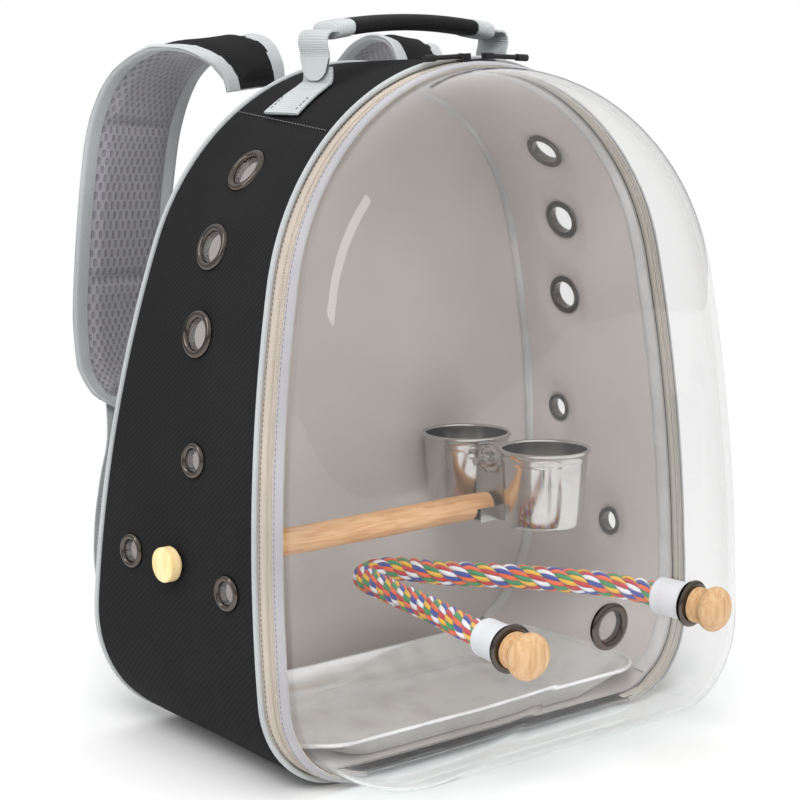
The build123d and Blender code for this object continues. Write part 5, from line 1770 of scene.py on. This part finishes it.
# ------------------------------------------------------------------ handle and straps
@dataclass(frozen=True)
class Handle:
    """Webbing handle with a padded grip, whose two feet are sewn into the crown seams."""

    y: float = -4.0
    swing_z: float = 393.591
    fold_z: float = 380.59
    crown_z: float = 246.386
    crown_radius: float = 147.5
    seam_x: float = 91.4
    webbing: float = 26.0
    foot_width: float = 31.0
    thick: float = 1.6
    grip_half: float = 60.0
    grip_z: float = 408.69
    grip_bow: float = 5.0
    grip_width: float = 24.0
    grip_thick: float = 9.5
    wrap: float = 14.0
    leg: tuple[tuple[float, float], ...] = (
        (67.0, 0.0), (67.05, 3.0), (68.05, 6.0), (68.5, 9.1), (67.6, 12.6), (65.0, 14.8),
        (60.1, 15.1))

    def ribbon(self, name: str, line: Sequence[Vector], widths: Sequence[float],
               round_end: bool = False) -> Piece:
        """Flat webbing along a line, its width lying along Y.

        Args:
            name: name of the piece.
            line: centre line in metres.
            widths: width in millimetres at each point.
            round_end: whether the first end is rounded.

        Returns:
            The ribbon, closed all round.
        """
        across = 10
        loop = [(-1 + 2 * i / across, 1) for i in range(across + 1)]
        loop += [(1 - 2 * i / across, -1) for i in range(across + 1)]
        loop.append(loop[0])
        count = len(line) - 1

        def place(s: float, t: float) -> Vector:
            """Point of the ribbon."""
            index = round(t * count)
            ahead = heading(line, index)
            side, face = loop[round(s * (len(loop) - 1))]
            up = ahead.cross(Vector((0, 1, 0))).normalized()
            half = widths[index] / 2
            edge = 1 - 0.35 * abs(side) ** 8
            point = line[index] + Vector((0, side * half, 0)) * MM
            point += up * face * edge * self.thick / 2 * MM
            if round_end and index == 0:
                point -= ahead * sqrt(max(0.0, 1 - side**2)) * half * MM * 0.98
            return point

        piece = wrap(name, len(loop) - 1, count, place, True,
                     lengths=(2 * self.webbing * MM, line_length(line)))
        close_ends(piece)
        return piece

    def grip(self, name: str, start: float, stop: float, width: float, high: float,
             steps: int, pad: float) -> Piece:
        """Rounded bar along the grip between two places."""
        around = 40
        loop = [(cos(2 * pi * i / around), sin(2 * pi * i / around)) for i in range(around)]

        def place(s: float, t: float) -> Vector:
            """Point of the bar's skin."""
            x = start + (stop - start) * t
            edge = min(1.0, min(t, 1 - t) * (stop - start) / 3.0)
            swell = 1 - pad * (1 - sqrt(max(0.0, 1 - (1 - edge) ** 2)))
            c, n = loop[round(s * around) % around]
            y = copysign(abs(c) ** 0.62, c) * width / 2 * swell
            z = copysign(abs(n) ** 0.8, n) * high / 2 * swell
            bow = self.grip_bow * (1 - (x / self.grip_half) ** 2)
            return Vector((x, self.y + y, self.grip_z + bow + z)) * MM

        piece = wrap(name, around, steps, place, True,
                     lengths=((width + high) * 2 * MM * 0.8, (stop - start) * MM))
        close_ends(piece)
        return piece

    def build(self) -> None:
        """Makes the sewn feet, the legs, the grip and the wraps at its ends."""
        legs, feet, wraps = [], [], []
        for side in (-1, 1):
            line = smooth_line([Vector((side * x, self.y, self.swing_z + z)) * MM
                                for x, z in self.leg], 46)
            legs.append(self.ribbon(f"leg_{side}", line, [self.webbing] * len(line), True))
            feet.append(self.foot(side))
            near, far = sorted((side * (self.grip_half - self.wrap), side * self.grip_half))
            wraps.append(self.grip(f"wrap_{side}", near - 0.4, far + 0.4, self.grip_width + 0.8,
                                   self.grip_thick + 1.0, 12, 0.25))
        ends = self.grip_half - self.wrap
        grip = self.grip("grip", -ends, ends, self.grip_width, self.grip_thick, 80, 0.02)
        dress(grip, "handle", [GRIP], ["handle_grip"])
        dress(join("handle_legs", legs), "handle", [WEBBING],
              ["handle_webbing"])
        dress(join("grip_wraps", wraps), "handle", [WEBBING],
              ["handle_end_wraps"])
        dress(join("handle_feet", [f for f, _ in feet]), "bag", [WEBBING],
              ["handle_anchors"])
        dress(join("handle_feet_seams", [s for _, s in feet]), "bag", [THREAD])

    def foot(self, side: int) -> tuple[Piece, Piece]:
        """Webbing from the crown seam along the crown and up behind the leg, with stitches."""
        reach = self.crown_radius + 0.95
        lie = [(reach * cos(a), self.crown_z + reach * sin(a))
               for a in np.linspace(acos(self.seam_x / reach), acos(71.0 / reach), 5)]
        rise = [(67.6, self.fold_z - 1.7), (65.7, self.fold_z - 0.6), (64.8, self.fold_z + 1.8),
                (64.8, self.fold_z + 8.2)]
        line = smooth_line([Vector((side * x, self.y, z)) * MM for x, z in lie + rise], 60)
        taper = self.foot_width - self.webbing
        widths = [self.foot_width - taper * min(1.0, i / 30) for i in range(len(line))]
        piece = self.ribbon(f"foot_{side}", line, widths)
        marks = []
        ahead = (line[1] - line[0]).normalized()
        up = ahead.cross(Vector((0, 1, 0))).normalized()
        up = up if up.z > 0 else -up
        start = line[3] + up * 0.95 * MM
        half = 11.5 * MM
        for way in (-1, 1):
            run = [start + Vector((0, half * way, 0)) + ahead * d * MM for d in (0.0, 6.0, 12.0)]
            marks.append(stitches(f"foot_seam_{side}_{way}", smooth_line(run, 12), 2.8, 2.0, 0.3,
                                  [up] * 12))
        return piece, join(f"foot_seams_{side}", marks)


@dataclass(frozen=True)
class Straps:
    """Two padded shoulder straps with their webbing and ladder buckles."""

    back_y: float = 79.0
    back_z: float = 392.3
    thick: float = 8.0
    pad_roll: float = 0.5
    hem: float = 8.6
    webbing: float = 25.0
    buckle_drop: float = 198.3
    pad: tuple[tuple[float, float, float, float], ...] = (
        (-64.0, -23.4, 16.3, 40.0), (-65.0, -19.7, 4.3, 43.0), (-67.5, -11.0, -4.7, 47.0),
        (-72.0, 7.0, -8.7, 54.0), (-78.0, 31.0, -3.7, 61.0), (-84.0, 54.0, 12.3, 66.0),
        (-88.5, 68.0, 39.3, 68.0), (-90.5, 75.5, 74.3, 68.0), (-92.0, 81.0, 117.3, 68.0),
        (-93.0, 84.0, 157.3, 68.0), (-93.0, 82.0, 187.3, 66.0), (-93.0, 76.5, 205.3, 56.0),
        (-93.0, 72.0, 216.3, 34.0))
    tab: tuple[tuple[float, float, float], ...] = ((-93.0, 1.4, -34.0), (-93.0, 3.3, -13.0))
    upper: tuple[tuple[float, float, float], ...] = ((-93.5, 3.2, 13.0), (-96.5, 1.0, 38.0))
    lower: tuple[tuple[float, float, float], ...] = (
        (-102.0, 78.0, 130.0), (-107.0, 77.0, 102.0), (-112.0, 69.0, 76.0),
        (-115.0, 51.0, 54.0), (-117.0, 26.0, 37.0), (-118.0, -1.1, 25.0))

    def behind_pad(self, drop: float) -> float:
        """How far the pad's back lies behind the bag's foot, at a drop from the top."""
        spine = self.pad[3:]
        return float(np.interp(drop, [p[2] for p in spine], [p[1] for p in spine])
                     + self.thick / 2)

    def pad_piece(self, side: int) -> Piece:
        """Foam pad sewn flat at its bound edge and at its cross seams.

        Args:
            side: -1 for the left strap, 1 for the right.

        Returns:
            The pad, with its outer cloth, air mesh and edge binding in three slots.
        """
        route = [Vector((-side * x, self.back_y + y, self.back_z - drop)) * MM
                 for x, y, drop, _ in self.pad]
        line = smooth_line(route, 190)
        spot = np.linspace(0, len(self.pad) - 1, len(line))
        reach = distances(line) / MM
        total = reach[-1]
        station = distances(route) / MM
        station *= total / station[-1]
        wide = [float(np.interp(r, station, [p[3] for p in self.pad])) for r in reach]
        tip = 30.0
        for i, r in enumerate(reach):
            left = total - r
            if left < tip:
                wide[i] = min(wide[i], 68.0) * (0.42 + 0.58 * sqrt(max(
                    0.0, 1 - ((tip - left) / tip) ** 2.4)))
        across, count = 44, len(line) - 1
        pinches = (total * 0.42, total * 0.73)

        def place(s: float, t: float) -> Vector:
            """Point of the pad's skin; s runs over the outside and back inside."""
            index = round(t * count)
            face, share = both_faces(s)
            ahead = heading(line, index)
            tilt = Vector((0, 0, self.pad_roll * -side * max(0.0, 1 - spot[index] / 4)))
            way = Vector((1, 0, 0)) + tilt
            way = (way - ahead * way.dot(ahead)).normalized()
            normal = way.cross(ahead).normalized()
            half = wide[index] / 2
            edge = min(half * (1 - abs(share)), reach[index] + 6, total - reach[index])
            foam = min(1.0, max(0.0, (edge - 8.0) / 9.0))
            foam = foam * foam * (3 - 2 * foam)
            dent = min(abs(reach[index] - p) for p in pinches)
            pinch = 1 - 0.9 * exp(-((dent / 3.6) ** 2)) * min(1.0, foam * 1.4)
            hem = 1.9 if edge < self.hem else 1.35
            if edge < 1.0:
                hem *= sqrt(max(0.05, edge))
            rise = hem + (self.thick / 2 + 0.3 - hem) * foam * pinch
            return line[index] + way * share * half * MM + normal * face * rise * MM

        piece = wrap(f"strap_pad_{side}", across * 2, count, place, True,
                     lengths=(0.136, total * MM))
        close_ends(piece)
        for material in (OXFORD, AIR_MESH, STRAP_EDGE):
            piece.data.materials.append(finish_of(material))
        columns = across * 2
        for polygon in piece.data.polygons:
            if polygon.index >= columns * count:
                polygon.material_index = 2
                continue
            index, column = divmod(polygon.index, columns)
            face, share = both_faces((column + 0.5) / columns)
            edge = min(wide[index] / 2 * (1 - abs(share)), total - reach[index])
            polygon.material_index = 2 if edge < self.hem else (0 if face > 0 else 1)
        return piece

    def build(self) -> None:
        """Makes both straps."""
        for side, word in ((-1, "left"), (1, "right")):
            pad = self.pad_piece(side)
            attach(pad, "bag")
            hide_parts(f"strap_pad_{word}")
            LOG.info("strap pad %s: %d faces", word, len(pad.data.polygons))
            pieces = []
            for index, (name, route) in enumerate((("tab", self.hung(self.tab, side)),
                                                   ("web", self.web(side)))):
                line = smooth_line(route, 30 if index == 0 else 120)
                pieces.append(self.strip(f"{name}_{word}", line))
            web = join(f"webbing_{word}", pieces)
            dress(web, "bag", [STRAP_WEB], [f"strap_webbing_{word}"])
            keep_node(f"strap_buckle_{word}", BLACK_ACETAL)

    def hung(self, places: Sequence[tuple[float, float, float]], side: int) -> list[Vector]:
        """Places measured from the buckle, in metres."""
        drop = self.buckle_drop
        return [Vector((-side * x, self.back_y + self.behind_pad(drop + d) + y,
                        self.back_z - drop - d)) * MM for x, y, d in places]

    def web(self, side: int) -> list[Vector]:
        """Route of the long webbing from the buckle to the bag's foot."""
        return self.hung(self.upper, side) + [
            Vector((-side * x, self.back_y + y, z)) * MM for x, y, z in self.lower]

    def strip(self, name: str, line: Sequence[Vector]) -> Piece:
        """Webbing whose width lies along X."""
        count = len(line) - 1
        across = 10

        def place(s: float, t: float) -> Vector:
            """Point of the webbing."""
            index = round(t * count)
            ahead = heading(line, index)
            face, share = both_faces(s)
            way = Vector((1, 0, 0))
            way = (way - ahead * way.dot(ahead)).normalized()
            normal = ahead.cross(way)
            return (line[index] + way * share * self.webbing / 2 * MM
                    + normal * face * (0.8 - 0.3 * abs(share) ** 8) * MM)

        piece = wrap(name, across * 2, count, place, True,
                     lengths=(2 * self.webbing * MM, line_length(line)))
        close_ends(piece)
        return piece


@dataclass(frozen=True)
class Sliders:
    """Black zip sliders and their cord pulls, kept as they are on the CAD."""

    def build(self) -> None:
        """Gives the kept nodes their finishes."""
        for word in ("left", "right"):
            keep_node(f"zip_slider_{word}", BLACK_STEEL)
            keep_node(f"zip_pull_{word}", BLACK_CORD)


# ------------------------------------------------------------------ studio
@dataclass(frozen=True)
class Studio:
    """White product studio: camera, pale floor, soft lamps."""

    camera_place: tuple[float, float, float] = (-0.8062, -0.9566, 0.4063)
    target: tuple[float, float, float] = (0.0, 0.0015, 0.1908)
    lens: float = 95.4
    sensor: float = 36.0

    def lamp(self, name: str, place: tuple[float, float, float],
             aim: tuple[float, float, float], size: tuple[float, float], power: float,
             mirrored: bool = False) -> None:
        """One area lamp that points at a place; most are left out of reflections."""
        data = bpy.data.lights.new(name, "AREA")
        data.shape = "RECTANGLE"
        data.size, data.size_y = size
        data.energy = power
        lamp = bpy.data.objects.new(name, data)
        bpy.context.scene.collection.objects.link(lamp)
        lamp.location = place
        lamp.visible_glossy = mirrored
        lamp.visible_transmission = False
        way = Vector(aim) - Vector(place)
        lamp.rotation_euler = way.to_track_quat("-Z", "Y").to_euler()

    def build(self) -> None:
        """Makes the camera, the floor, the world and the lamps."""
        data = bpy.data.cameras.new("view")
        data.lens = self.lens
        data.sensor_width = self.sensor
        camera = bpy.data.objects.new("view", data)
        bpy.context.scene.collection.objects.link(camera)
        camera.location = self.camera_place
        way = Vector(self.target) - Vector(self.camera_place)
        camera.rotation_euler = way.to_track_quat("-Z", "Y").to_euler()
        bpy.context.scene.camera = camera
        bpy.ops.mesh.primitive_plane_add(size=14.0, location=(0, 0, -0.0005))
        floor = bpy.context.object
        floor.name = "floor"
        floor.data.materials.append(self.floor_paint())
        self.world()
        self.lamp("key", (-1.5, -1.5, 1.9), (0, 0, 0.2), (1.3, 1.3), 40)
        self.lamp("fill", (1.7, -1.6, 0.9), (0, 0, 0.2), (1.4, 1.4), 12)
        self.lamp("top", (0.0, 0.1, 2.2), (0, 0, 0.2), (1.6, 1.6), 16)
        self.lamp("strip", (-1.28, 0.46, 1.0), (0, -0.1, 0.25), (0.24, 1.1), 4, True)
        scene = bpy.context.scene
        scene.view_settings.view_transform = "Standard"

    def floor_paint(self) -> Material:
        """Seamless paper: white, and it keeps the soft shadow near the object."""
        material = bpy.data.materials.new("seamless_paper")
        material.use_nodes = True
        tree = material.node_tree
        tree.nodes.clear()
        paint = add_node(tree, "BsdfDiffuse", {"Color": linear("#fbfbfb")})
        glow = add_node(tree, "Emission", {"Color": linear("#ffffff")})
        place = add_node(tree, "TexCoord").outputs["Object"]
        far = add_node(tree, "VectorMath", {0: place}, operation="LENGTH")
        fade = add_node(tree, "MapRange", {"Value": far.outputs["Value"], "From Min": 0.22,
                                           "From Max": 0.75})
        blend = add_node(tree, "MixShader", {0: fade.outputs["Result"], 1: paint.outputs[0],
                                             2: glow.outputs[0]})
        add_node(tree, "OutputMaterial", {"Surface": blend.outputs[0]})
        return material

    def world(self) -> None:
        """White backdrop for what is seen straight, mirrored or through clear plastic."""
        world = bpy.data.worlds.new("backdrop")
        bpy.context.scene.world = world
        world.use_nodes = True
        tree = world.node_tree
        tree.nodes.clear()
        rays = add_node(tree, "LightPath").outputs
        plain = linear("#ffffff")
        white = add_node(tree, "Background", {"Color": plain})
        soft = add_node(tree, "Background", {"Color": plain, "Strength": 0.55})
        way = add_node(tree, "TexCoord").outputs["Generated"]
        height = add_node(tree, "SeparateXYZ", {0: way}).outputs["Z"]
        rise = add_node(tree, "MapRange", {"Value": height, "From Min": 0.05, "From Max": 0.5,
                                           "To Min": 0.3, "To Max": 0.95})
        graded = add_node(tree, "Background", {"Color": plain,
                                               "Strength": rise.outputs["Result"]})
        mirrored = add_node(tree, "MixShader", {0: rays["Is Glossy Ray"], 1: soft.outputs[0],
                                                2: graded.outputs[0]})
        seen = add_node(tree, "Math", {0: rays["Is Camera Ray"], 1: rays["Is Transmission Ray"]},
                        operation="MAXIMUM")
        blend = add_node(tree, "MixShader", {0: seen.outputs[0], 1: mirrored.outputs[0],
                                             2: white.outputs[0]})
        add_node(tree, "OutputWorld", {"Surface": blend.outputs[0]})


def main() -> None:
    """Builds the dressed carrier and its studio."""
    logging.basicConfig(level=logging.INFO, format="%(message)s")
    for part in (Bag(), Dome(), RopePerch(), FeedingSet(), Tray(), Handle(), Straps(),
                 Sliders(), Studio()):
        LOG.info("building %s", type(part).__name__)
        part.build()


if __name__ == "__main__":
    main()
